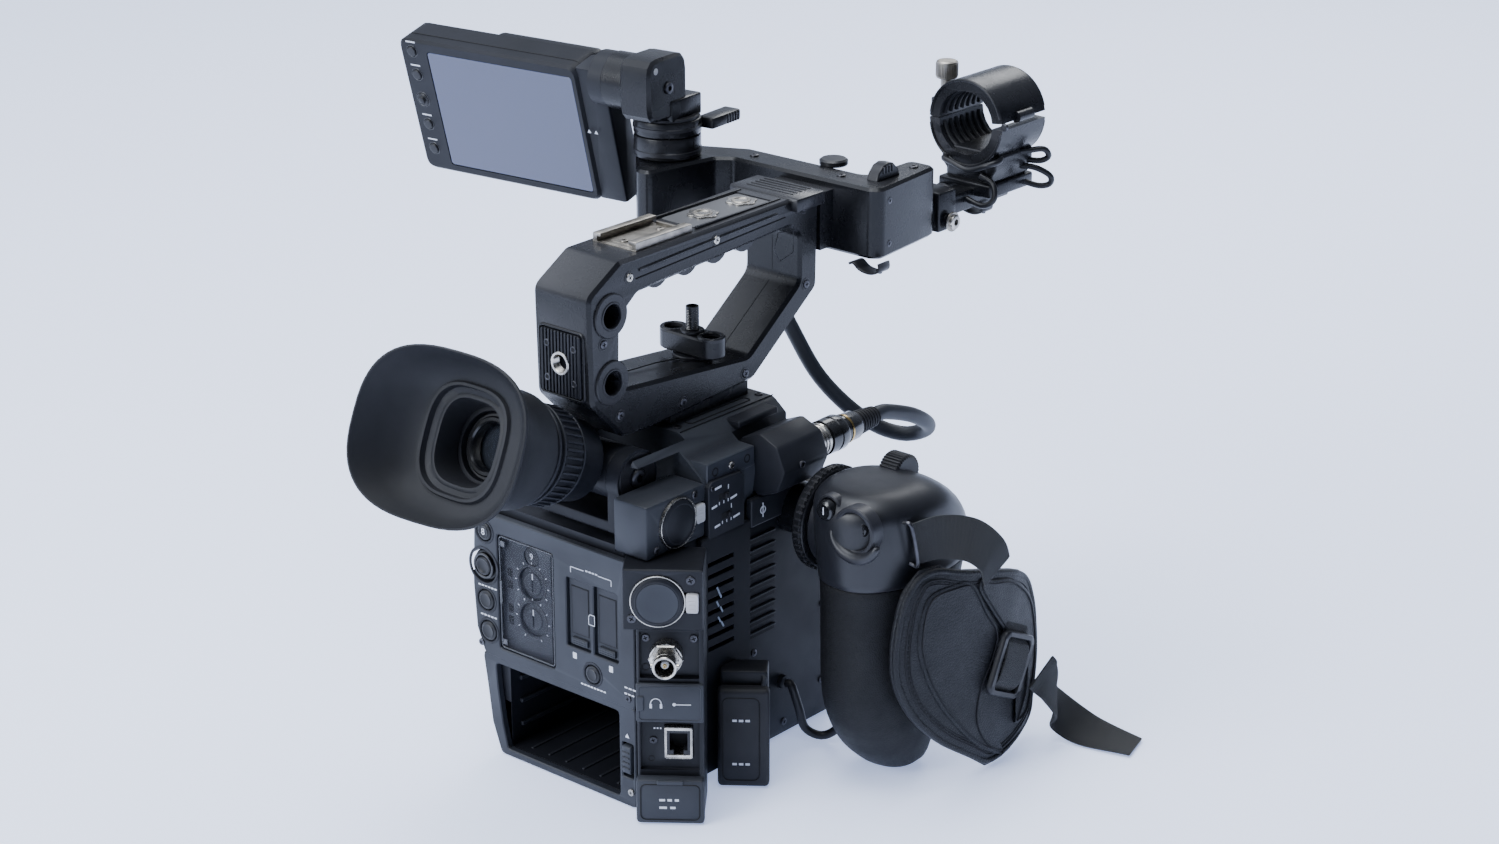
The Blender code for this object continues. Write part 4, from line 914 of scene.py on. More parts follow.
def buckle():
    """The ladder buckle: a rounded frame with two bars, lying on the pad."""
    home = BUCKLE
    outline = round_rect((0, 0), 26, 31, 4)
    inner = round_rect((0, 0), 19.5, 25, 2)
    rings = []
    for points, height in ((outline, 0.4), (outline, 2.2), ([(x * 0.96, y * 0.96) for x, y in outline], 3.0),
                           ([(x * 1.04, y * 1.04) for x, y in inner], 3.0), (inner, 2.2), (inner, 0.4)):
        rings.append([(x, y, -height) for x, y in points])
    main = skin("strap_buckle_frame", rings, "button", "grip", home, closed=True, angle=50)
    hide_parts("strap_buckle")
    for index, y in enumerate((-1.4, 5.5)):
        wire("strap_buckle_bar_%d" % index, [(-10.5, y, -1.6), (10.5, y, -1.6)], 1.1, "button", "grip", home)
    lug = axes_frame((-125.2, -9.5, 126), (0, 0.25, 0.97), (1, 0, 0))
    wire("strap_lug",
         smooth_path([(-11, 1.5, 0), (-11, -2.5, 0), (0, -3.4, 0), (11, -2.5, 0), (11, 1.5, 0)], 1.0),
         0.9, "dark_steel", "grip", lug)


# ---------------------------------------------------------------- eyecup and viewfinder

def eye_ring(depth, half_x, half_z, power, shift_x=0.0, lean=0.0, count=64):
    return [(shift_x + x, depth + lean * x / 38, z) for x, z in superellipse(half_x, half_z, power, count)]


def eyecup():
    """Matt rubber cup: flared and rounded-square, with a thin lip and stepped rings inside."""
    rings = [eye_ring(57.3, 26.3, 26.3, 2.0), eye_ring(60, 26.7, 26.7, 2.0), eye_ring(69, 26.8, 26.8, 2.1),
             eye_ring(75, 27.6, 27.4, 2.2), eye_ring(80, 29, 29, 2.35), eye_ring(85, 31.2, 30.7, 2.5, 0.4, 2),
             eye_ring(90, 34, 33, 2.6, 1, 4), eye_ring(96, 37, 35.6, 2.65, 2, 7.5),
             eye_ring(102, 39.8, 37.8, 2.7, 3, 11), eye_ring(103.1, 39.7, 37.7, 2.7, 3, 11),
             eye_ring(103.3, 38.9, 37.0, 2.7, 3, 11), eye_ring(102, 38.2, 36.3, 2.7, 3, 11),
             eye_ring(96, 35.2, 34, 2.65, 2, 7.5), eye_ring(91.5, 31.4, 30.8, 2.6, 1, 4),
             eye_ring(89.0, 26.4, 27.0, 2.8), eye_ring(88.4, 24.8, 25.6, 3.0),
             eye_ring(89.8, 24.0, 24.8, 3.0),
             eye_ring(89.8, 22.6, 23.6, 3.0), eye_ring(87.0, 22.0, 23.0, 3.0),
             eye_ring(86.0, 19.6, 20.8, 3.0),
             eye_ring(86.6, 18.6, 19.8, 3.0), eye_ring(86.4, 17.4, 18.8, 3.0), eye_ring(84, 16.9, 18.0, 3.0),
             eye_ring(73.5, 16.7, 16.8, 2.3), eye_ring(73.4, 24.2, 24.2, 2.0),
             eye_ring(57.3, 24.4, 24.4, 2.0)]
    cup = skin("eyecup_rubber", rings, "soft_rubber", "viewfinder", EYE, closed=True, angle=50)
    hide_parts("eyecup")
    ring("eyepiece_frame", EYE @ facing((0, 0, 0), (0, 1, 0)), 11.5, 15.4, 60, 70.5, "button", "viewfinder",
         64)
    ring("eyepiece_retainer", EYE @ facing((0, 0, 0), (0, 1, 0)), 10.6, 13.4, 66, 72.0, "gloss",
         "viewfinder", 64)
    lathe("eyepiece_lens", [(0, 58), (12.8, 58), (12.8, 63.5), (10, 65.2), (6, 66.4), (0, 66.9)],
          EYE @ facing((0, 0, 0), (0, 1, 0)), "lens", "viewfinder", 64)
    for name, depth, radius, wide in (("a", 52.6, 24.15, 1.2), ("b", 48.0, 23.2, 1.0),
                                      ("c", 33.4, 21.7, 0.9)):
        ring("barrel_rib_" + name, EYE @ facing((0, 0, 0), (0, 1, 0)), radius - 1.2, radius + 0.35, depth,
             depth + wide, "body", "viewfinder", 72)
    grip_ridges = 40
    for i in range(grip_ridges):
        angle = 2 * math.pi * i / grip_ridges
        x, z = 22.2 * math.cos(angle), 22.2 * math.sin(angle)
        place = EYE @ axes_frame((x, 0, z), (-math.sin(angle), 0, math.cos(angle)), (0, 1, 0))
        box("diopter_ridge_%d" % i, (-0.55, 35.5, -0.7), (0.55, 46.5, 0.7), "body", "viewfinder", 0.3, place)
    for side in (-1, 1):
        screw("pivot_screw_%d" % side, (side * 25.3, 60, 153), (side, 0, 0), 4.2, "camera_body", "dark_steel",
              "hex")
        ring("pivot_ring_%d" % side, facing((side * 24.9, 60, 153), (side, 0, 0)), 5.2, 11.6, -0.2, 0.6,
             "button",
             "camera_body", 56)


# ---------------------------------------------------------------- grip

GRIP_LEVELS = [
    (0.5, -27, -42, 9, -99), (5.0, -18, -50, 15, -99), (20, -3, -54, 20, -99), (42, 7, -58, 22.5, -99),
    (72, 9, -64, 23.5, -99), (96, 9, -71, 25, -99), (114, 10, -74, 26.5, -98.5), (129, 10, -66, 27, -98),
    (140, 8, -52, 25, -97), (146, 1, -38, 18, -95),
]


def grip_section(z):
    levels = GRIP_LEVELS
    index = max(i for i in range(len(levels) - 1) if levels[i][0] <= z)
    low, high = levels[index], levels[index + 1]
    before, after = levels[max(index - 1, 0)], levels[min(index + 2, len(levels) - 1)]
    t = (z - low[0]) / (high[0] - low[0])
    h = (2 * t ** 3 - 3 * t ** 2 + 1, t ** 3 - 2 * t ** 2 + t, -2 * t ** 3 + 3 * t ** 2, t ** 3 - t ** 2)
    values = []
    for k in (1, 2, 3, 4):
        slope_low = (high[k] - before[k]) / max(high[0] - before[0], 1) * (high[0] - low[0])
        slope_high = (after[k] - low[k]) / max(after[0] - low[0], 1) * (high[0] - low[0])
        values.append(h[0] * low[k] + h[1] * slope_low + h[2] * high[k] + h[3] * slope_high)
    return values


def grip_ring(z, swell=0.0, count=72, shrink=1.0):
    rear, front, half, x = grip_section(z)
    middle, deep = (rear + front) / 2, (rear - front) / 2
    return [(x + px * shrink, middle + py * shrink, z)
            for px, py in superellipse(half + swell, deep + swell, 2.3, count)]


def grip():
    """Satin upper shell over a leather-textured lower part, with a parting groove between them."""
    lower = [grip_ring(0.5, -1.5)] + [grip_ring(z, -0.4) for z in (1.5, 3, 5, 8, 12, 16, 20, 26, 32, 38, 44,
                                                                   52, 60,
                                                                      68, 76, 84, 92, 98, 102)]
    lower += [grip_ring(103, -1.1)]
    skin("grip_lower", lower, "grip_skin", "grip", angle=70)
    upper = [grip_ring(102.4, -1.2)] + [grip_ring(z, 0.0) for z in (103.4, 106, 110, 114, 118, 122, 126,
                                                                    130, 134,
                                                                       137, 140, 142.4, 144.2)]
    upper += [grip_ring(145.3, 0, shrink=0.93), grip_ring(145.8, 0, shrink=0.8),
              grip_ring(145.99, 0, shrink=0.5),
              grip_ring(145.99, 0, shrink=0.1)]
    shell = skin("grip_upper", upper, "grip", "grip", angle=70)
    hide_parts("grip_body")
    lathe("grip_hub", [(0, -0.2), (20.2, -0.2), (21, 0.6), (21, 9), (23.5, 16), (0, 16)],
          facing((-69.6, -26, 118), (-1, 0, 0)), "grip", "grip", 64)
    lathe("grip_gland", [(0, 0), (3.2, 0), (3.4, 1), (4.4, 7), (4.4, 12), (0, 12)],
          facing((-75, -34, 17), (-1, 0, 0)), "cord", "grip", 32)
    thumb_rest()
    controls()
    ring("rosette_ring", facing((-66.4, -26, 118), (-1, 0, 0)), 20.4, 24.4, -0.8, 2.6, "button",
         "camera_body", 72)
    teeth = 48
    for i in range(teeth):
        angle = 2 * math.pi * i / teeth
        y, z = 24.6 * math.cos(angle), 24.6 * math.sin(angle)
        place = Matrix.Translation((0, -26 + y, 118 + z)) @ Matrix.Rotation(angle, 4, "X")
        box("rosette_tooth_%d" % i, (-68.9, -0.6, -0.55), (-65.2, 0.55, 0.55), "handle", "camera_body", 0.2,
            place)


def thumb_rest():
    """The raised crescent under the thumb, sweeping round the joystick."""
    rings = []
    count = 28
    for i in range(count + 1):
        t = i / count
        angle = math.radians(200 + 150 * t)
        reach = 12.6
        x, z = -108.5 + reach * math.cos(angle) * 1.05, 133.0 + reach * math.sin(angle) * 0.98
        rise = math.sin(math.pi * t) ** 0.7
        rear = grip_section(min(max(z, 1), 145))[0]
        out = Vector((math.cos(angle), 0, math.sin(angle)))
        centre = Vector((x, rear - 1.6, z))
        section = []
        for k in range(12):
            q = 2 * math.pi * k / 12
            section.append(centre + out * (3.0 * math.cos(q) * (0.4 + 0.6 * rise))
                           + Vector((0, 1, 0)) * ((1.6 + 2.2 * rise) * math.sin(q)))
        rings.append(section)
    skin("grip_thumb_rest", rings, "grip", "grip", angle=80)


def controls():
    seat = facing((-108, 6.4, 133), (0, 1, 0))
    home = facing((-108, -7.5, 133), (0, 1, 0))
    stick = lathe("grip_joystick_cap",
                  [(0, 13.4), (2.4, 13.5), (3.0, 13.9), (4.0, 13.9), (4.8, 13.2), (5.4, 12.2),
                                        (7.4, 11.6), (8.3, 11.0), (8.4, 9), (8.4, 1), (0, 1)], home, "gloss",
                  "grip_stick", 48)
    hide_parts("grip_joystick")
    for i in range(8):
        angle = math.pi * i / 4
        at = Vector((3.5 * math.cos(angle), 3.5 * math.sin(angle), 13.9))
        lathe("joystick_dot_%d" % i, [(0.45, -0.3), (0.42, 0.1), (0.25, 0.3), (0, 0.34)],
              home @ Matrix.Translation(at), "button", "grip_stick", 12)
    ring("grip_joystick_bezel", seat, 8.9, 11.4, -4.5, 2.8, "grip", "grip", 56)
    key = lathe("grip_key_cap", [(0, 12.0), (3.4, 12.1), (4.3, 11.6), (4.8, 10.6), (4.8, 1), (0, 1)],
                facing((-92, -1.5, 139), (0, 1, 0)), "gloss", "grip_key", 40)
    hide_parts("grip_button")
    digit("grip_key_number", "1", (-92, 10.65, 139), (-1, 0, 0), (0, 0, 1), 5.2, "grip_key")
    ring("grip_key_bezel", facing((-92, 5.6, 139), (0, 1, 0)), 5.1, 6.8, -3.5, 1.0, "grip", "grip", 40)
    wheel()
    record = lathe("grip_record_cap",
                   [(0, 14.1), (3.6, 14.2), (4.9, 13.9), (5.8, 13.0), (6, 12), (6, 1), (0, 1)],
                   facing((-97, -58.5, 122), (0, -1, 0)), "button", "record_key", 40)
    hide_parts("grip_record_button")
    lathe("grip_record_dot", [(0, 14.55), (1.8, 14.5), (2.1, 14.1), (2.1, 13)],
          facing((-97, -58.5, 122), (0, -1, 0)), "red", "record_key", 32)


def wheel():
    """The front dial: a ribbed wheel whose rim stands out of an oval recess."""
    home = facing((-96.5, -45, 141), (1, 0, 0))
    count, rings = 36, []
    for height, scale in ((0.0, 0.90), (0.9, 1.0), (10.1, 1.0), (11.0, 0.90)):
        points = []
        for i in range(count * 4):
            angle = 2 * math.pi * i / (count * 4)
            radius = (9.4 if i % 4 in (0, 1) else 8.7) * scale
            points.append((radius * math.cos(angle), radius * math.sin(angle), height))
        rings.append(points)
    dial = skin("grip_dial_wheel", rings, "button", "grip_wheel", home, angle=25)
    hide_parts("grip_dial")


# ---------------------------------------------------------------- monitor

def monitor():
    plane = SCREEN @ axes_frame((0, 9.9, 0), (1, 0, 0), (0, 0, 1))
    inner_glass = round_rect((84, -28.5), 90.4, 63.4, 1.8)
    slab("monitor_glass", [(x, z) for x, z in inner_glass], -0.9, 0.1, plane, "blue", "monitor", 0.25)
    slab("monitor_display", round_rect((82.6, -25.7), 84.6, 52.4, 0.8), -0.2, 0.04 - 0.20 + 0.24, plane,
         "screen",
         "monitor", 0.0)
    for index, z in enumerate((2.5, -10.5, -24.5, -38.5, -52.5)):
        spot = SCREEN @ facing((138.7, 11.0, z), (0, 1, 0))
        if index == 2:
            lathe("monitor_joystick",
                  [(3.6, -1), (3.6, 0.3), (2.9, 0.8), (2.2, 0.7), (1.6, 1.7), (0.9, 2.0), (0, 2.0)],
                  spot, "button", "monitor", 32)
        else:
            lathe("monitor_key_%d" % index, [(2.7, -1), (2.7, 0.5), (2.3, 0.95), (1.2, 1.05), (0, 1.0)], spot,
                  "button", "monitor", 32)
        ring("monitor_key_ring_%d" % index, spot, 3.0 if index != 2 else 3.8, 3.5 if index != 2 else 4.3,
             -0.3, 0.16,
             "gloss", "monitor", 40)
        if index != 2:
            mark("monitor_key_mark_%d" % index, (135.6, 11.0, z + 5.2), (141.6, 11.0, z + 5.2), 0.8,
                 (0, 1, 0),
                 "monitor", SCREEN)
    for index, x in enumerate((33.6, 29.4)):
        bm = bmesh.new()
        corners = [(x - 1.1, 11.06, -25.9), (x + 1.1, 11.06, -25.9), (x, 11.06, -24.0)]
        bm.faces.new([bm.verts.new(c) for c in corners])
        publish("monitor_arrow_%d" % index, bm, "white", "monitor", SCREEN, smooth=False)
    wire("monitor_seam", [(x, 4.2, z) for x, z in round_rect((91, -28), 112.15, 74.15, 6)], 0.22, "void",
         "monitor",
         SCREEN, cyclic=True)
    for index, (x, z) in enumerate(((42, 3), (142, 3), (42, -59), (142, -59))):
        screw("monitor_rear_screw_%d" % index, (x, -9.0, z), (0, -1, 0), 1.7, "monitor", place=SCREEN)
    wire("monitor_swell_seam", [(x, -16.3, z) for x, z in round_rect((69, -24.5), 56, 52, 4)], 0.3, "void",
         "monitor",
         SCREEN, cyclic=True)
    neck()


def neck():
    home = PAN
    for index, (y, z) in enumerate(((24, 47), (4, 27))):
        lathe("neck_dot_%d" % index, [(1.6, -0.5), (1.6, 0.2), (1.2, 0.4), (0, 0.4)],
              home @ facing((-11.0, y, z), (-1, 0, 0)), "tab", "monitor_yoke", 24)
    ring("neck_collar", home @ Matrix.Translation((0, 0, 19.0)), 12.5, 15.8, 0.1, 1.7, "button",
         "monitor_yoke", 64)
    ring("lever_ring", home @ Matrix.Translation((0, 0, 11.3)), 15.4, 16.85, 2.8, 4.6, "button",
         "monitor_lever", 64)
    ring("pan_base_ring", home, 14.6, 16.7, 2.0, 4.2, "button", "camera_body", 64)
    for i in range(5):
        box("lever_rib_%d" % i, (-20.3, -32 + i * 2.2, 12.9), (-19.6, -31.2 + i * 2.2, 17.7), "handle",
            "monitor_lever",
            0.2, home)
    screw("axle_screw", (-11.0, 14, 37), (-1, 0, 0), 3.0, "monitor_yoke", "dark_steel", "hex", home)


# ---------------------------------------------------------------- handle

def star(centre, radius, points=6, depth=0.16):
    out = []
    for i in range(points * 8):
        angle = 2 * math.pi * i / (points * 8)
        reach = radius * (1 - depth * 0.5 + depth * 0.5 * math.cos(points * angle))
        out.append((centre[0] + reach * math.cos(angle), centre[1] + reach * math.sin(angle)))
    return out


def threaded(name, place, inner, outer, depth, material, body, pitch=0.9):
    """A threaded insert: a collar whose bore is cut with rounds of thread, and a dark floor."""
    profile = [(outer, -depth), (outer, 0), (outer - 0.25, 0.25), (inner + 0.35, 0.25)]
    level = 0.0
    while level > -depth + pitch:
        profile += [(inner + 0.05, level - pitch * 0.25), (inner + 0.45, level - pitch * 0.75)]
        level -= pitch
    profile += [(inner, -depth)]
    lathe(name, profile, place, material, body, 48, closed=True)
    lathe(name + "_floor", [(inner + 0.3, -depth + 0.5), (0, -depth + 0.5)], place, "void", body, 48)


def handle_details():
    body = "camera_body"
    for index, (y,
                z) in enumerate(((71.8, 216.9), (54.5, 243.4), (-3.4, 247.0), (-67.4, 210.2), (-23.4, 177.6),
                                    (61.8, 181.0), (-66.0, 248.0), (20.0, 175.5))):
        for side in (-1, 1):
            screw("handle_screw_%d_%d" % (index, side), (side * 17.05, y, z), (side, 0, 0), 2.0, body,
                  "nickel"
                  if index in (1, 2) else "dark_steel", "cross", turn=30 * index)
            ring("handle_counterbore_%d_%d" % (index, side), facing((side * 17.0, y, z), (side, 0, 0)), 2.2,
                 3.0,
                 -0.2, 0.22, "handle", body, 32)
    for z in (229, 198):
        for side in (-1, 1):
            home = facing((side * 17.0, 67, z), (side, 0, 0))
            ring("handle_socket_rim_%d_%d" % (z, side), home, 5.7, 10.2, -0.6, 1.1, "handle", body, 64)
            ring("handle_socket_lip_%d_%d" % (z, side), home, 5.5, 6.6, -4.0, 1.5, "button", body, 64)
    for side in (-1, 1):
        wire("handle_bead_%d" % side, smooth_path([(side * 17.0, 48, 245.5), (side * 17.0, 10, 247.2),
                                                   (side * 17.0, -46, 249.2)], 4), 0.75, "handle", body)
        wire("handle_groove_%d" % side, smooth_path([(side * 17.05, 50, 241.8), (side * 17.05, 10, 243.6),
                                                     (side * 17.05, -52, 246.4)], 4), 0.35, "void", body)
    inner = [(61.2, 193), (60.2, 226), (48, 235.3), (20, 237), (-56, 241.2), (-63.2, 235), (-63.2, 212),
             (-26, 184.8),
             (20, 190.5)]
    wire("handle_seam_inside", [(0, y, z) for y, z in inner], 0.3, "void", body, cyclic=True)
    for side in (-1, 1):
        slab("handle_inlay_rail_%d" % side, [(side * 11.4, -54), (side * 12.6, -54), (side * 12.6, 5),
                                              (side * 11.4, 5)], 252.6, 254.4, WORLD, "handle", body, 0.2)
    slab("handle_inlay", round_rect((0, -23), 21.2, 53, 2), 252.9, 253.35, WORLD, "plate", body, 0.15)
    for index, y in enumerate((-13.6, -40.5)):
        slab("insert_plate_%d" % index, star((0, y), 7.6), 253.2, 254.1, WORLD, "nickel", body, 0.2)
        threaded("insert_thread_%d" % index, Matrix.Translation((0, y, 254.2)), 3.0, 4.6, 6, "steel", body)
    for i in range(5):
        box("thumb_plate_rib_%d" % i, (-14, -74.5 + 3.2 * i, 254.6), (14, -73.3 + 3.2 * i, 255.2), "handle",
            body, 0.25)
    threaded("rear_thread", facing((0, 81.7, 207), (0, 1, 0)), 3.9, 5.4, 6, "nickel", body)
    for index, (x, z) in enumerate(((-8, 199), (8, 199), (-8, 215), (8, 215))):
        ring("rear_pin_hole_%d" % index, facing((x, 81.5, z), (0, 1, 0)), 1.0, 1.7, -0.6, 0.15,
             "dark_steel", body,
             24)
        lathe("rear_pin_dark_%d" % index, [(1.1, -0.1), (0, -0.1)], facing((x, 81.55, z), (0, 1, 0)),
              "void", body,
              24)
    wire("rear_plate_edge", [(x, 80.2, z) for x, z in round_rect((0, 207), 26.4, 31.4, 2.2)], 0.7, "handle",
         body,
         cyclic=True)
    wire("label_outline",
         [(-17.05, y, z) for y, z in ((-44, 233), (-47, 240), (-58, 239), (-58, 228), (-48, 226))],
         0.25, "button", body, cyclic=True)
    shoe_details()
    knob_details()


def shoe_details():
    body = "camera_body"
    slab("shoe_spring", round_rect((0, 27), 13.5, 30, 2), 252.75, 253.05, WORLD, "steel", body, 0.12)
    for index, y in enumerate((15, 39)):
        screw("shoe_screw_%d" % index, (0, y, 253.0), (0, 0, 1), 1.9, body, "steel", "cross")
    box("shoe_stop", (-7, 9.0, 252.6), (7, 10.4, 254.4), "steel", body, 0.25)


def knob_details():
    """The thumb screw's cups, its plated thread and the pad under it."""
    body = "thumb_screw"
    for side in (-1, 1):
        home = Matrix.Translation((side * 11.5, -6, 199.0))
        ring("knob_cup_%d" % side, home, 4.3, 6.6, -1.4, 0.55, "handle", body, 48)
    stud = [(0, 0)]
    level = 0.0
    while level < 11.0:
        stud += [(2.75, level), (3.15, level + 0.35), (2.75, level + 0.7)]
        level += 0.75
    stud += [(2.6, 11.6), (2.0, 12.6), (0, 12.6)]
    lathe("knob_stud", stud, Matrix.Translation((0, -6, 198.9)), "nickel", body, 40)
    ring("knob_collar", Matrix.Translation((0, -6, 198.8)), 3.0, 5.6, 0, 1.5, "handle", body, 48)
    ring("knob_seat", Matrix.Translation((0, -6, 188.2)), 4.2, 9.5, -0.4, 1.0, "button", "camera_body", 56)


# ---------------------------------------------------------------- monitor arm and microphone holder

def arm_details():
    body = "camera_body"
    wire("arm_window", [(x, -87.3, z) for x, z in round_rect((66.5, 238.5), 26, 22, 4)], 0.5, "button", body,
         cyclic=True)
    lathe("arm_knob", [(0, 0), (6.6, 0), (7.0, 0.6), (7.0, 2.4), (6.0, 3.2), (0, 3.4)],
          Matrix.Translation((2, -111, 255.6)), "button", body, 48)
    fin = [(-9, 0), (9, 0), (7.5, 4), (4, 7.4), (0, 8.3), (-4, 7.4), (-7.5, 4)]
    home = axes_frame((-30.5, -108, 255.4), (0, 1, 0), (0, 0, 1))
    slab("arm_release_tab", fin, -3.4, 3.4, home, "button", body, 1.0)
    for i in range(4):
        box("arm_tab_rib_%d" % i, (-34.4, -111 + 2.2 * i, 259), (-33.6, -110 + 2.2 * i, 262.3), "button",
            body, 0.2)
    for index, (x, y) in enumerate(((-14, -97), (40, -97), (62, -76), (-31, -131))):
        screw("arm_screw_%d" % index, (x, y, 256.0), (0, 0, 1), 2.2, body, "dark_steel", "hex")
    for index, (x, z) in enumerate(((-42.2, 228), (-42.2, 249))):
        screw("arm_side_screw_%d" % index, (x + 0.1, -98, z), (-1, -0.05, 0), 1.7, body)
    wire("arm_seam", [(-38.1, -126, 222.5), (-38.1, -126, 255)], 0.3, "void", body)
    clip("arm_clip", Matrix.Translation((-40, -88, 221.5)))
    clip("mic_clip", Matrix.Translation((-28, -186, 226.2)))
    screw("mic_arm_screw", (-41.0, -151, 226), (-1, 0, 0), 3.7, body, "nickel", "hex")
    ring("mic_arm_washer", facing((-40.2, -151, 226), (-1, 0, 0)), 3.0, 4.9, -0.4, 0.5, "steel", body, 40)


def clip(name, home):
    """A sprung cable clip: a bent strip with a rounded lip."""
    path = smooth_path([(-7, 0, 0.5), (-7, 0, -3), (-2, 0, -5.2), (4, 0, -4.6), (8, 0, -2.0),
                        (10.5, 0, -2.6)], 0.8)
    rings = []
    for index, place in enumerate(path):
        after, before = path[min(index + 1, len(path) - 1)], path[max(index - 1, 0)]
        along = (after - before).normalized()
        up = Vector((0, 1, 0)).cross(along)
        rings.append([place + Vector((0, v * 4.2, 0)) + up * (w * 0.6)
                      for v, w in ((-1, -0.6), (-0.9, -1), (0.9, -1), (1, -0.6), (1, 0.6), (0.9, 1),
                                   (-0.9, 1),
                                   (-1, 0.6))])
    skin(name, rings, "button", "camera_body", home, angle=50)
    screw(name + "_screw", (-4.5, 0, -4.4), (0.3, 0, -1), 1.6, "camera_body", place=home)


def wire_loop(name, points, radius=1.5):
    wire(name, smooth_path(points, 1.2), radius, "button", "camera_body")


def mic_details():
    x, y, z = -28.0, -194.0, 268.0
    rear, front = y + 18, y - 18
    for start, sweep, body, label in ((6, 160, "mic_clamp", "upper"), (186, 166, "camera_body", "lower")):
        for index in range(7):
            at = rear - 4.4 - index * 4.6
            points = []
            for i in range(31):
                angle = math.radians(start + sweep * i / 30)
                points.append((x + 15.9 * math.cos(angle), at, z + 15.9 * math.sin(angle)))
            wire("mic_liner_%s_%d" % (label, index), points, 1.05, "rubber", body)
        for edge_y, tag in ((rear, "rear"), (front, "front")):
            points = []
            for i in range(31):
                angle = math.radians(start + sweep * i / 30)
                points.append((x + 21.2 * math.cos(angle), edge_y, z + 21.2 * math.sin(angle)))
            wire("mic_rim_%s_%s" % (label, tag), points, 0.8, "handle", body)
    lathe("mic_hinge_pin", [(0, 0.3), (1.5, 0.3), (1.9, 0), (1.9, -1)],
          facing((-51.0, rear, 269.6), (0, 1, 0)),
          "dark_steel", "camera_body", 32)
    base = [(-15, 239.6), (13, 239.6), (13, 243), (16, 246), (16, 252), (12, 255), (-14, 255), (-17, 252),
            (-17, 246),
            (-15, 243)]
    slab("mic_cradle", [(px + x, pz) for px, pz in base], -(rear - 2.5), -(front + 2.5),
         axes_frame((0, 0, 0), (1, 0, 0), (0, 0, 1)), "handle", "camera_body", 1.0)
    wire_loop("isolator_rear_top", [(-17, rear - 4, 249), (-18, rear + 3.5, 249.5), (-24, rear + 5, 248.6),
                                    (-34, rear + 5, 246.6), (-45, rear + 4, 250.6), (-48, rear - 1, 252),
                                    (-45, rear - 6, 252)])
    wire_loop("isolator_rear_low", [(-14, rear - 6, 234), (-15, rear + 3, 234.4), (-21, rear + 5.2, 235.5),
                                    (-32, rear + 5.4, 232.5), (-43, rear + 5, 230.0), (-48.5, rear + 3, 234),
                                    (-46, rear + 1, 240.6), (-38, rear, 243)])
    wire_loop("isolator_side_top",
              [(-41, y - 4, 251), (-47, y - 9, 252), (-52.5, y - 14, 252.6), (-53.5, y - 17, 248.6),
                                    (-50, y - 15.5, 246), (-43, y - 12, 246)])
    wire_loop("isolator_side_low",
              [(-41, y - 8, 243.5), (-49, y - 12, 243), (-55, y - 16.5, 239), (-54.5, y - 17.5, 234.6),
                                    (-50, y - 15, 233.2), (-43, y - 11, 235)])
    box("mic_lower_block", (-42, -209, 231), (-14, -179, 240.2), "handle", "camera_body", 1.4)
    knurl = 40
    for i in range(knurl):
        angle = 2 * math.pi * i / knurl
        place = Matrix.Translation((-2.6, y, z)) @ Matrix.Rotation(angle, 4, "Z")
        box("mic_screw_knurl_%d" % i, (5.2, -0.24, 16.2), (5.65, 0.24, 22.8), "steel", "mic_screw", 0.1,
            place)


# ---------------------------------------------------------------- rear panel

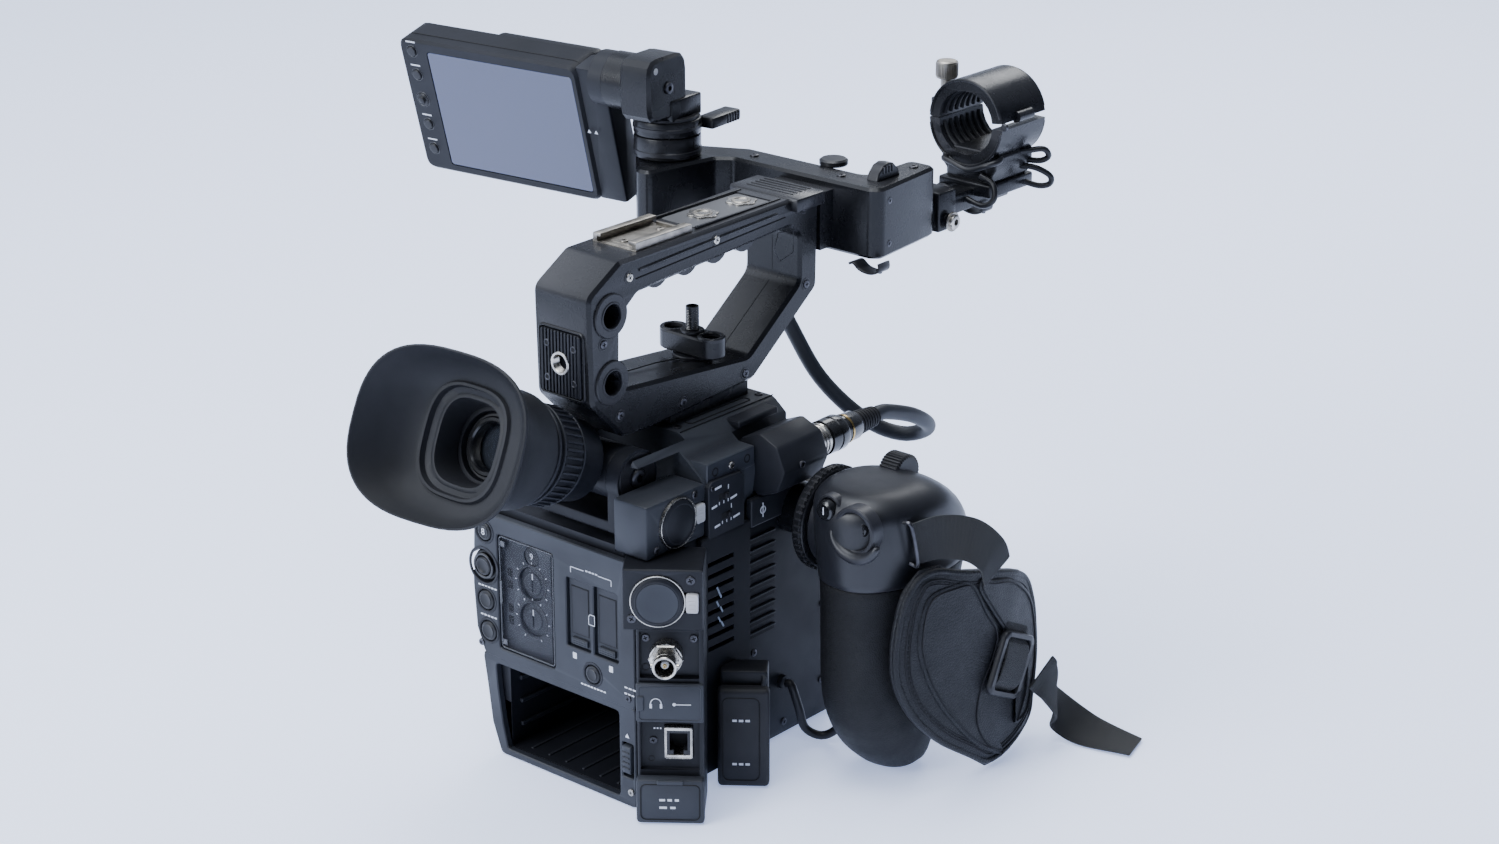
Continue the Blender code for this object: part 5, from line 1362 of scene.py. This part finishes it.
def rear_details():
    body = "camera_body"
    front = (0, 1, 0)
    for name, x, z, radius, key in (("menu", 52, 62, 5.1, "key_menu"),
                                    ("cancel", 53, 77.5, 5.1, "key_cancel"),
                                    ("eight", 53, 112, 4.6, "key_8"),
                                    ("slot", -14.5, 60, 4.6, "key_slot_select")):
        ring("key_bezel_" + name, facing((x, 80, z), front), radius + 0.45, radius + 1.5, -0.4, 0.28,
             "body", body,
             48)
        lathe("key_dish_" + name, [(radius - 1.5, 0), (radius - 1.8, 0.22), (radius - 2.2, 0.05), (0, 0.0)],
              facing((x, 80.66, z), front), "button", key, 40)
    digit("key_number_eight", "8", (53, 80.85, 112), (-1, 0, 0), (0, 0, 1), 4.6, "key_8")
    digit("key_number_nine", "9", (26, 76.75, 105.5), (-1, 0, 0), (0, 0, 1), 4.4, "key_9")
    ring("stick_bezel", facing((54, 80, 94.5), front), 8.3, 9.6, -0.4, 0.35, "body", body, 56)
    stick = facing((54, 80.7, 94.5), front)
    ring("stick_ring", stick, 5.0, 6.4, -1.4, 0.0, "gloss", "rear_stick", 48)
    for start, end, tag in (((46.5, 69.6), (57.5, 69.6), "menu"), ((46, 84.4), (58.5, 84.4), "cancel"),
                            ((-22.5, 53.4), (-6.5, 53.4), "slot"), ((-41, 60), (-33.5, 60), "release"),
                            ((-40.0, 57), (-33.5, 57), "release_low")):
        label(tag, start, end)
    for tag, points in (("left", ((-2, 107.2), (-2, 110.0))), ("top_left", ((-2, 110.0), (-10, 110.0))),
                        ("top_right", ((-19, 110.0), (-27, 110.0))), ("right", ((-27, 110.0), (-27, 107.2)))):
        (ax, az), (bx, bz) = points
        mark("slot_bracket_" + tag, (ax, 80.02, az), (bx, 80.02, bz), 0.4, front, body)
    label("cards", (-18.6, 110.4), (-10.6, 110.4))
    card = [(-16.3, 89.5), (-13.6, 89.5), (-12.7, 88.4), (-12.7, 84.5), (-16.3, 84.5)]
    for index in range(len(card)):
        (ax, az), (bx, bz) = card[index], card[(index + 1) % len(card)]
        mark("card_icon_%d" % index, (ax, 80.02, az), (bx, 80.02, bz), 0.35, front, body)
    for index, x in enumerate((-3.5, -26)):
        slab("slot_tag_%d" % index, round_rect((x, 66.2), 2.4, 3.0, 0.3), -80.06, -79.9,
             axes_frame((0, 0, 0), (1, 0, 0), (0, 0, 1)), "white", body, 0.0)
    for index, x in enumerate((-6.0, -23.0)):
        door = "card_flap_%d" % (index + 1)
        for step in range(3):
            box("card_lip_rib_%d_%d" % (index, step), (x - 4.2, 79.45, 72.0 + step * 1.0),
                (x + 4.2, 79.85, 72.4 + step * 1.0), "slate_and_deck_sheen", door, 0.12)
        box("card_recess_%d" % index, (x - 5.4, 78.15, 76.4), (x + 5.4, 78.3, 100.2), "void", door, 0.0)
        box("card_panel_%d" % index, (x - 5.0, 78.1, 76.8), (x + 5.0, 78.5, 99.8), "body", door, 0.2)
    audio_door_details()
    battery_details()
    for index, (x, z) in enumerate(((-37.3, 7.7), (49.5, 6.5), (57.0, 54.8), (-36.4, 54.8))):
        if index != 1:
            screw("panel_screw_%d" % index, (x, 80.0, z), front, 1.7, body,
                  "nickel" if index == 0 else "dark_steel")


def label(tag, start, end):
    """A row of short printed dashes where a key's caption stands."""
    (ax, az), (bx, _) = start, end
    count = max(3, int(abs(bx - ax) / 2.0))
    step = (bx - ax) / count
    for i in range(count):
        mark("label_%s_%d" % (tag, i), (ax + step * i, 80.02, az), (ax + step * (i + 0.72), 80.02, az), 0.75,
             (0, 1, 0), "camera_body")


def audio_door_details():
    body = "camera_body"
    for index, z in enumerate((92, 74)):
        home = facing((26, 75.0, z), (0, 1, 0))
        ring("level_bezel_%d" % index, facing((26, 76.8, z), (0, 1, 0)), 8.6, 9.4, -0.3, 0.15, "button",
             body, 56)
        for i in range(36):
            angle = 2 * math.pi * i / 36
            at = Matrix.Translation((7.7 * math.cos(angle), 7.7 * math.sin(angle),
                                     0)) @ Matrix.Rotation(angle, 4, "Z")
            box("level_ridge_%d_%d" % (index, i), (-0.2, -0.28, -2.5), (0.45, 0.28, 0.1), "button",
                "level_dial_%d" % (index + 1), 0.1, home @ at)
        mark("level_pointer_%d" % index, (26, 76.52, z + 2.0), (26, 76.52, z + 5.0), 0.7, (0, 1, 0),
             "level_dial_%d" % (index + 1))
        for i in range(11):
            angle = math.radians(-150 + 30 * i)
            a = (26 + 9.9 * math.sin(angle), 76.82, z + 9.9 * math.cos(angle))
            b = (26 + 10.9 * math.sin(angle), 76.82, z + 10.9 * math.cos(angle))
            mark("level_tick_%d_%d" % (index, i), a, b, 0.35, (0, 1, 0), body)
    wire("audio_door_rim", [(x, 79.0, z) for x, z in round_rect((27.2, 84), 34.0, 56.0, 1.6)], 0.42,
         "smoke_edge",
         "audio_window", cyclic=True)
    for index, z in enumerate((59.2, 108.7)):
        box("audio_latch_%d" % index, (40.4, 79.35, z - 1.4), (43.2, 79.72, z + 1.4), "smoke_edge",
            "audio_window", 0.2)
    box("audio_finger_lip", (43.0, 78.4, 78), (44.6, 79.7, 90), "smoke_edge", "audio_window", 0.5)
    for index, (x, z) in enumerate(((40, 94), (40, 88), (40, 76), (40, 70))):
        box("level_switch_%d" % index, (x - 1.6, 76.7, z - 2.1), (x + 1.6, 77.0, z + 2.1), "void", body, 0.1)


def battery_details():
    """The bay's contact block, guide rails and floor ribs, and the release lever's ridges."""
    body = "camera_body"
    box("battery_terminal", (-6, 11.6, 9), (18, 17.5, 30), "button", body, 0.6)
    for index in range(5):
        box("battery_blade_%d" % index, (-2.6 + index * 4.2, 17.2, 12), (-1.6 + index * 4.2, 20.5, 26),
            "gold", body,
            0.1)
    for index, z in enumerate((12, 24, 36)):
        box("battery_rail_left_%d" % index, (41.4, 20, z), (43.2, 70, z + 2.2), "body", body, 0.5)
        box("battery_rail_right_%d" % index, (-30.2, 20, z), (-28.6, 70, z + 2.2), "body", body, 0.5)
    for index in range(6):
        box("battery_floor_rib_%d" % index, (-22 + index * 11, 18, 3.3), (-20.6 + index * 11, 72, 4.1),
            "body", body,
            0.25)
    box("battery_roof_latch", (-12, 58, 46.8), (10, 70, 48.7), "button", body, 0.6)
    for index in range(4):
        box("battery_lever_rib_%d" % index, (-37.4, 81.0, 19.6 + index * 2.6),
            (-33.2, 81.55, 20.5 + index * 2.6),
            "button", "battery_lever", 0.2)
    slab("battery_arrow", [(-34.0, 34.8), (-36.6, 34.8), (-35.3, 37.0)], -80.03, -79.9,
         axes_frame((0, 0, 0), (1, 0, 0), (0, 0, 1)), "white", body, 0.0)


# ---------------------------------------------------------------- connector column

def column_details():
    body = "camera_body"
    out = (0, 1, 0)
    cap = COLUMN @ facing((5.0, 0, 108), out)
    ring("input_2_ring", cap, 11.75, 12.35, -0.6, 1.9, "nickel", body, 72)
    ring("input_2_groove", cap, 9.6, 10.2, 2.6, 3.52, "body", body, 72)
    lathe("input_2_dish", [(9.4, 3.3), (9.2, 3.52), (4, 3.46), (0, 3.44)], cap, "slate_and_deck_sheen", body, 72)
    screw("input_2_screw_a", (-9.6, 0.8, 118.2), out, 2.1, body, place=COLUMN)
    screw("input_2_screw_b", (16.6, 0.8, 99.4), out, 2.1, body, place=COLUMN, turn=55)
    for index in range(4):
        box("push_2_letter_%d" % index, (-11.8, 2.5, 104.2 + index * 1.9),
            (-8.8, 2.78, 105.2 + index * 1.9), "tab",
            "push_2", 0.12, COLUMN)
    box("push_2_neck", (-7.9, -0.5, 105.9), (-6.9, 1.6, 109.1), "tab", "push_2", 0.3, COLUMN)
    slab("bnc_plate", round_rect((0.2, 81.4), 25.6, 21.8, 1), 2.95, 3.35,
         COLUMN @ axes_frame((0, 0, 0), (1, 0, 0),
         (0, 0, 1)), "body", body, 0.15)
    for tag, x, z, radius in (("a", -10.6, 88.6, 1.9), ("b", 10.9, 88.6, 1.9)):
        screw("bnc_screw_" + tag, (x, -2.9, z), out, radius, body, place=COLUMN)
    lathe("bnc_side_hole", [(1.9, 0), (1.9, 0.15), (1.3, 0.15), (1.2, -0.4), (0, -0.4)],
          COLUMN @ facing((10.9, -2.95, 74.2), out), "void", body, 24)
    bnc = COLUMN @ facing((1.5, 0, 81), out)
    lathe("bnc_barrel",
          [(4.25, 3.9), (4.7, 3.9), (5.55, 4.3), (5.5, 9.5), (5.2, 9.8), (5.2, 11.6), (5.5, 12.0),
                         (5.5, 12.7), (5.2, 13.15), (4.6, 13.15), (4.3, 12.8), (4.25, 4.2)], bnc, "nickel",
                         body, 64,
          closed=True)
    lathe("bnc_insulator", [(0, 5.2), (1.8, 5.2), (1.8, 9.5), (1.2, 9.5), (1.2, 6.5), (0, 6.5)], bnc, "tab",
          body, 32)
    lathe("bnc_pin", [(1.0, 5), (1.0, 10.4), (0.7, 10.8), (0.45, 10.8), (0.4, 8.5), (0, 8.5)], bnc, "gold",
          body, 32)
    lathe("bnc_floor", [(4.4, 4.4), (0, 4.4)], bnc, "void", body, 32)
    ring("bnc_nut", bnc, 5.4, 7.9, 2.2, 4.4, "nickel", body, 6)
    socket = COLUMN
    box("ethernet_dark", (-8.7, -10.8, 32.4), (1.5, -7.6, 44.1), "void", body, 0.0, socket)
    for side, (low, high) in enumerate((((-8.75, -10, 32.35), (-7.6, 0.2, 44.1)), ((0.4, -10, 32.35),
                                                                                   (1.55, 0.2, 44.1)))):
        box("ethernet_wall_%d" % side, low, high, "button", body, 0.1, socket)
    box("ethernet_shelf", (-8.7, -9, 43.0), (1.5, 0.1, 44.15), "button", body, 0.1, socket)
    box("ethernet_latch_left", (-8.7, -6, 32.3), (-5.8, 0.1, 34.6), "button", body, 0.2, socket)
    box("ethernet_latch_right", (-1.4, -6, 32.3), (1.5, 0.1, 34.6), "button", body, 0.2, socket)
    for index in range(8):
        x = -7.2 + index * 1.02
        wire("ethernet_contact_%d" % index, [(x, -8.0, 40.0), (x, -4.0, 41.6), (x, -0.8, 42.9)], 0.19,
             "gold", body,
             socket, resolution=2)
    wire("ethernet_shield_edge", [(x, 0.42, z) for x, z in round_rect((-3.6, 38.25), 12.0, 15.1, 0.8)], 0.3,
         "nickel", body, socket, cyclic=True)
    screw("ethernet_screw", (7.9, -2.3, 38.4), out, 1.8, body, place=COLUMN)
    lathe("ethernet_hole", [(1.5, 0), (1.5, 0.12), (1.1, 0.12), (1.0, -0.3), (0, -0.3)],
          COLUMN @ facing((8.8, -2.35, 29.0), out), "void", body, 24)
    for index, x in enumerate((4.2, 5.6, 7.0)):
        mark("network_mark_%d" % index, (x, -2.38, 44.2), (x + 0.7, -2.38, 44.2), 0.7, out, body, COLUMN)
    cover_details()


def cover_details():
    out = (0, 1, 0)
    wire("headphone_lip", [(x, 2.2, z) for x, z in round_rect((0, 58.8), 27.8, 16.6, 1.6)], 0.45, "cover",
         "headphone_flap", COLUMN, cyclic=True)
    box("headphone_tab", (11.6, 1.2, 55), (15.1, 3.2, 62.4), "cover", "headphone_flap", 0.8, COLUMN)
    arc = [(6.2 + 2.4 * math.cos(math.radians(a)), 2.5, 58.6 + 2.6 * math.sin(math.radians(a)))
           for a in range(-20, 201, 11)]
    wire("headphone_icon", arc, 0.22, "white", "headphone_flap", COLUMN)
    for index, x in enumerate((3.9, 8.5)):
        box("headphone_icon_pad_%d" % index, (x - 0.55, 2.35, 56.4), (x + 0.55, 2.6, 58.6), "white",
            "headphone_flap", 0.1, COLUMN)
    wire("data_icon_line", [(-9.5, 2.5, 58.4), (-2.2, 2.5, 58.4)], 0.22, "white", "headphone_flap", COLUMN)
    lathe("data_icon_dot", [(0.8, 0), (0.75, 0.15), (0, 0.2)], COLUMN @ facing((-2.0, 2.4, 58.4), out),
          "white",
          "headphone_flap", 20)
    wire("power_groove", [(x, 6.42, z) for x, z in round_rect((0, 11.5), 26.6, 17.6, 2.4)], 0.3, "void",
         "power_flap", COLUMN, cyclic=True)
    box("power_tab", (-6, 5.2, 20.2), (6, 6.9, 22.4), "cover", "power_flap", 0.6, COLUMN)
    for index, (x, z,
                wide) in enumerate(((3.6, 12.6, 2.6), (0.2, 12.6, 2.0), (-3.0, 12.6, 1.8), (3.2, 8.8, 3.4),
                                          (-1.2, 8.8, 2.4))):
        mark("power_mark_%d" % index, (x - wide / 2, 6.44, z), (x + wide / 2, 6.44, z), 1.1, out,
             "power_flap", COLUMN)
    wire("signal_groove", [(x, 4.62, z) for x, z in round_rect((1, 25), 17, 42, 3)], 0.32, "void",
         "signal_flap",
         SIGNAL, cyclic=True)
    for index, z in enumerate((12.4, 34.6)):
        for step in range(3):
            mark("signal_mark_%d_%d" % (index, step), (5.0 - step * 3.0, 4.64, z),
                 (3.0 - step * 3.0, 4.64, z), 1.1,
                 out, "signal_flap", SIGNAL)
    wire("signal_tether",
         smooth_path([(-9, -1, 49.6), (-9.4, -2.5, 52.5), (-8, -5, 53.5), (-6, -7, 52)], 0.8), 1.1,
         "cover", "signal_flap", SIGNAL)


# ---------------------------------------------------------------- side panels and deck

def side_details():
    body = "camera_body"
    right = (-1, 0, 0)
    cap = facing((-46, 57, 136), right)
    ring("input_1_ring", cap, 11.2, 11.8, -0.6, 1.5, "nickel", body, 72)
    ring("input_1_groove", cap, 9.0, 9.6, 1.6, 2.52, "body", body, 72)
    screw("input_1_screw_a", (-46, 45.2, 145.6), right, 1.9, body)
    screw("input_1_screw_b", (-46, 70.6, 126.8), right, 1.9, body, turn=50)
    for index in range(5):
        box("push_1_rib_%d" % index, (-47.75, 40.6, 132.6 + index * 1.5),
            (-47.5, 43.8, 133.3 + index * 1.5), "tab",
            "push_1", 0.1)
    switch_panel()
    for index, (y, z) in enumerate(((33.9, 152), (9.0, 152))):
        if index == 0:
            screw("strip_screw", (-45.55, 19.5, 152), right, 1.8, body, "nickel")
        else:
            continue
    for index, y in enumerate((8.5, 30.5)):
        lathe("strip_hole_%d" % index, [(2.1, -0.1), (2.1, 0.12), (1.5, 0.14), (1.35, -0.3), (0, -0.3)],
              facing((-45.5, y, 152), right), "void", body, 28)
    wire("deck_groove", [(x, y, 165.05) for x, y in round_rect((-17.8, -3), 4.5, 42, 1.5)], 0.35, "void",
         body,
         cyclic=True)
    wire("film_plane_line", [(-47.9, 0, 121.3), (-47.9, 0, 128.3)], 0.25, "white", body)
    circle = [(-47.9, 1.7 * math.cos(math.radians(a)), 124.8 + 1.7 * math.sin(math.radians(a)))
              for a in range(0, 360, 15)]
    wire("film_plane_ring", circle, 0.25, "white", body, cyclic=True)
    box("side_band", (-47.75, -24.5, 117.8), (-44.0, 7.9, 131.4), "body", body, 0.9)
    for index in range(9):
        z = 60 + index * 6
        box("side_vent_%d" % index, (-44.9, -12, z), (-43.9, 5.5, z + 2.2), "void", body, 0.3)
        box("side_vent_lip_%d" % index, (-45.3, -12.6, z + 2.1), (-43.9, 6.1, z + 3.0), "body", body, 0.25)
    for index, (y, z) in enumerate(((-30, 112), (-48, 60), (-48, 20), (-20, 8), (2, 52))):
        screw("right_screw_%d" % index, (-44.0, y, z), right, 1.8, body)
    residue = ((32, 95), (30.5, 92), (32.2, 88), (29.6, 84.5), (31.2, 80), (29.0, 77))
    for index, (y, z) in enumerate(residue):
        mark("label_residue_%d" % index, (-47.56, y, z + 1.6), (-47.56, y - 1.6, z - 1.4), 0.9, right, body,
             material="residue")
    left_side()
    deck_details()


def switch_panel():
    """Input switches: a small plate with two slide switches and their line pictograms."""
    body = "camera_body"
    right = (-1, 0, 0)
    slab("switch_plate",
         [(12.4, 120.6), (37.2, 120.6), (37.2, 146.4), (34.5, 148.8), (14.8, 148.0), (12.4, 145.5)],
         -1.2, 2.5, axes_frame((-45.0, 0, 0), (0, -1, 0), (0, 0, 1)) @ Matrix.Scale(-1, 4, (1, 0, 0)),
         "body", body, 0.6)
    face = -47.55
    for index, (y, z) in enumerate(((27.0, 140.0), (25.0, 130.2))):
        box("switch_well_%d" % index, (face - 0.05, y - 3.4, z - 1.5), (face + 0.6, y + 3.4, z + 1.5),
            "void", body, 0.1)
        box("switch_knob_%d" % index, (face - 1.3, y - 2.6, z - 1.2), (face + 0.2, y - 0.2, z + 1.2),
            "button", body,
            0.3)
        for step, dy in enumerate((-3.0, 0.0, 3.0)):
            mark("switch_tick_%d_%d" % (index, step), (face, y + dy, z - 2.2), (face, y + dy, z - 3.6),
                 0.45, right, body)
        mark("switch_line_%d" % index, (face, y - 3.2, z + 2.4), (face, y - 3.2, z + 4.6), 0.45, right, body)
        mark("switch_word_a_%d" % index, (face, y - 4.6, z - 2.8), (face, y - 9.0, z - 2.2), 1.0, right, body)
        mark("switch_word_b_%d" % index, (face, y + 4.6, z - 3.4), (face, y + 8.2, z - 3.8), 1.0, right, body)
    mark("switch_title", (face, 33.0, 144.8), (face, 28.6, 145.2), 1.1, right, body)
    screw("switch_plate_screw", (face, 34.8, 145.6), right, 1.2, body)


def left_side():
    """The left side, which faces away: keys, air intake, cover and screws."""
    body = "camera_body"
    left = (1, 0, 0)
    box("left_panel", (60.6, -50, 66), (62.4, 62, 121), "slate_and_deck_sheen", body, 0.8)
    for index in range(12):
        z = 70 + index * 3.6
        box("left_vent_%d" % index, (62.2, -46, z), (62.75, -20, z + 1.6), "void", body, 0.2)
    for index, (y,
                z) in enumerate(((52, 110), (52, 98), (52, 86), (40, 110), (40, 98), (40, 86), (6, 112),
                                 (-6, 112))):
        spot = facing((62.4, y, z), left)
        lathe("left_key_%d" % index, [(3.6, -0.5), (3.6, 1.0), (3.0, 1.5), (0, 1.4)], spot, "button", body,
              36)
        ring("left_key_ring_%d" % index, spot, 4.0, 4.7, -0.3, 0.3, "gloss", body, 36)
        mark("left_key_mark_%d" % index, (62.42, y - 2.4, z + 6.0), (62.42, y + 2.4, z + 6.0), 0.7, left,
             body)
    wheel_home = facing((62.2, 22, 98), left)
    ring("left_dial_rim", wheel_home, 10.2, 12.0, -0.3, 0.6, "button", body, 64)
    lathe("left_dial", [(10, -0.5), (10, 3.4), (9.2, 4.2), (6.5, 4.3), (6.0, 3.6), (0, 3.4)], wheel_home,
          "button",
          body, 64)
    for i in range(32):
        angle = 2 * math.pi * i / 32
        at = Matrix.Translation((10 * math.cos(angle), 10 * math.sin(angle), 0)) @ Matrix.Rotation(angle, 4,
                                                                                                   "Z")
        box("left_dial_ridge_%d" % i, (-0.3, -0.3, 0.4), (0.4, 0.3, 3.6), "button", body, 0.1,
            wheel_home @ at)
    screw_spots = ((61.0, -46, 62), (61.0, 58, 68))
    for index, (x, y, z) in enumerate(screw_spots):
        screw("left_screw_%d" % index, (x + (1.4 if index else 0.0), y, z), left, 1.8, body)


def deck_details():
    body = "camera_body"
    up = (0, 0, 1)
    for index, (x, y) in enumerate(((-18, -32), (18, -32), (-18, 25), (18, 25))):
        screw("deck_screw_%d" % index, (x, y, 165.0), up, 2.0, body, "dark_steel", "hex")
    for side in (-1, 1):
        wire("deck_seam_%d" % side, [(side * 23.4, -36, 165.1), (side * 23.4, 29, 165.1)], 0.25, "void", body)
    box("terminal_saddle", (-33.5, -28, 160.5), (-24.5, 0, 164.0), "body", body, 1.0)
    threaded("foot_thread", facing((0, 0, 0.02), (0, 0, -1)), 3.1, 4.4, 5, "steel", body)
    ring("mount_face_ring", facing((0, -72.8, 82), (0, -1, 0)), 27.2, 33.4, -0.3, 0.35, "nickel", body, 96)
    for index in range(4):
        angle = math.radians(45 + 90 * index)
        screw("mount_screw_%d" % index, (30.3 * math.cos(angle), -73.15, 82 + 30.3 * math.sin(angle)),
              (0, -1, 0),
              1.5, body, "nickel")
    for index in range(11):
        box("mount_contact_%d" % index, (-8.0 + index * 1.6, -71.4, 56.2),
            (-7.2 + index * 1.6, -70.6, 58.6), "gold",
            body, 0.1)
    lathe("sensor_frame", [(25.0, 0), (25.0, 3), (21.5, 3.6), (21.2, 0.2)],
          facing((0, -24.5, 82), (0, -1, 0)),
          "button", body, 64, closed=True)
    slab("sensor_area", round_rect((0, 82), 25, 14, 0.5), 23.32, 23.45,
         axes_frame((0, 0, 0), (1, 0, 0), (0, 0, 1)),
         "glass", body, 0.0)
    box("front_plate", (-43, -56.9, 8), (-38.8, -55.8, 40), "slate_and_deck_sheen", body, 0.4)
    for index in range(40):
        angle = 2 * math.pi * index / 40
        place = facing((0, -56.3, 82), (0, -1, 0)) @ Matrix.Rotation(angle, 4, "Z")
        box("lock_ring_rib_%d" % index, (39.3, -0.9, 10.5), (40.1, 0.9, 19.5), "button", "lock_ring", 0.25,
            place)


cords()
video_plug()
hand_strap()
eyecup()
grip()
monitor()
handle_details()
arm_details()
mic_details()
rear_details()
column_details()
side_details()
dress_nodes()
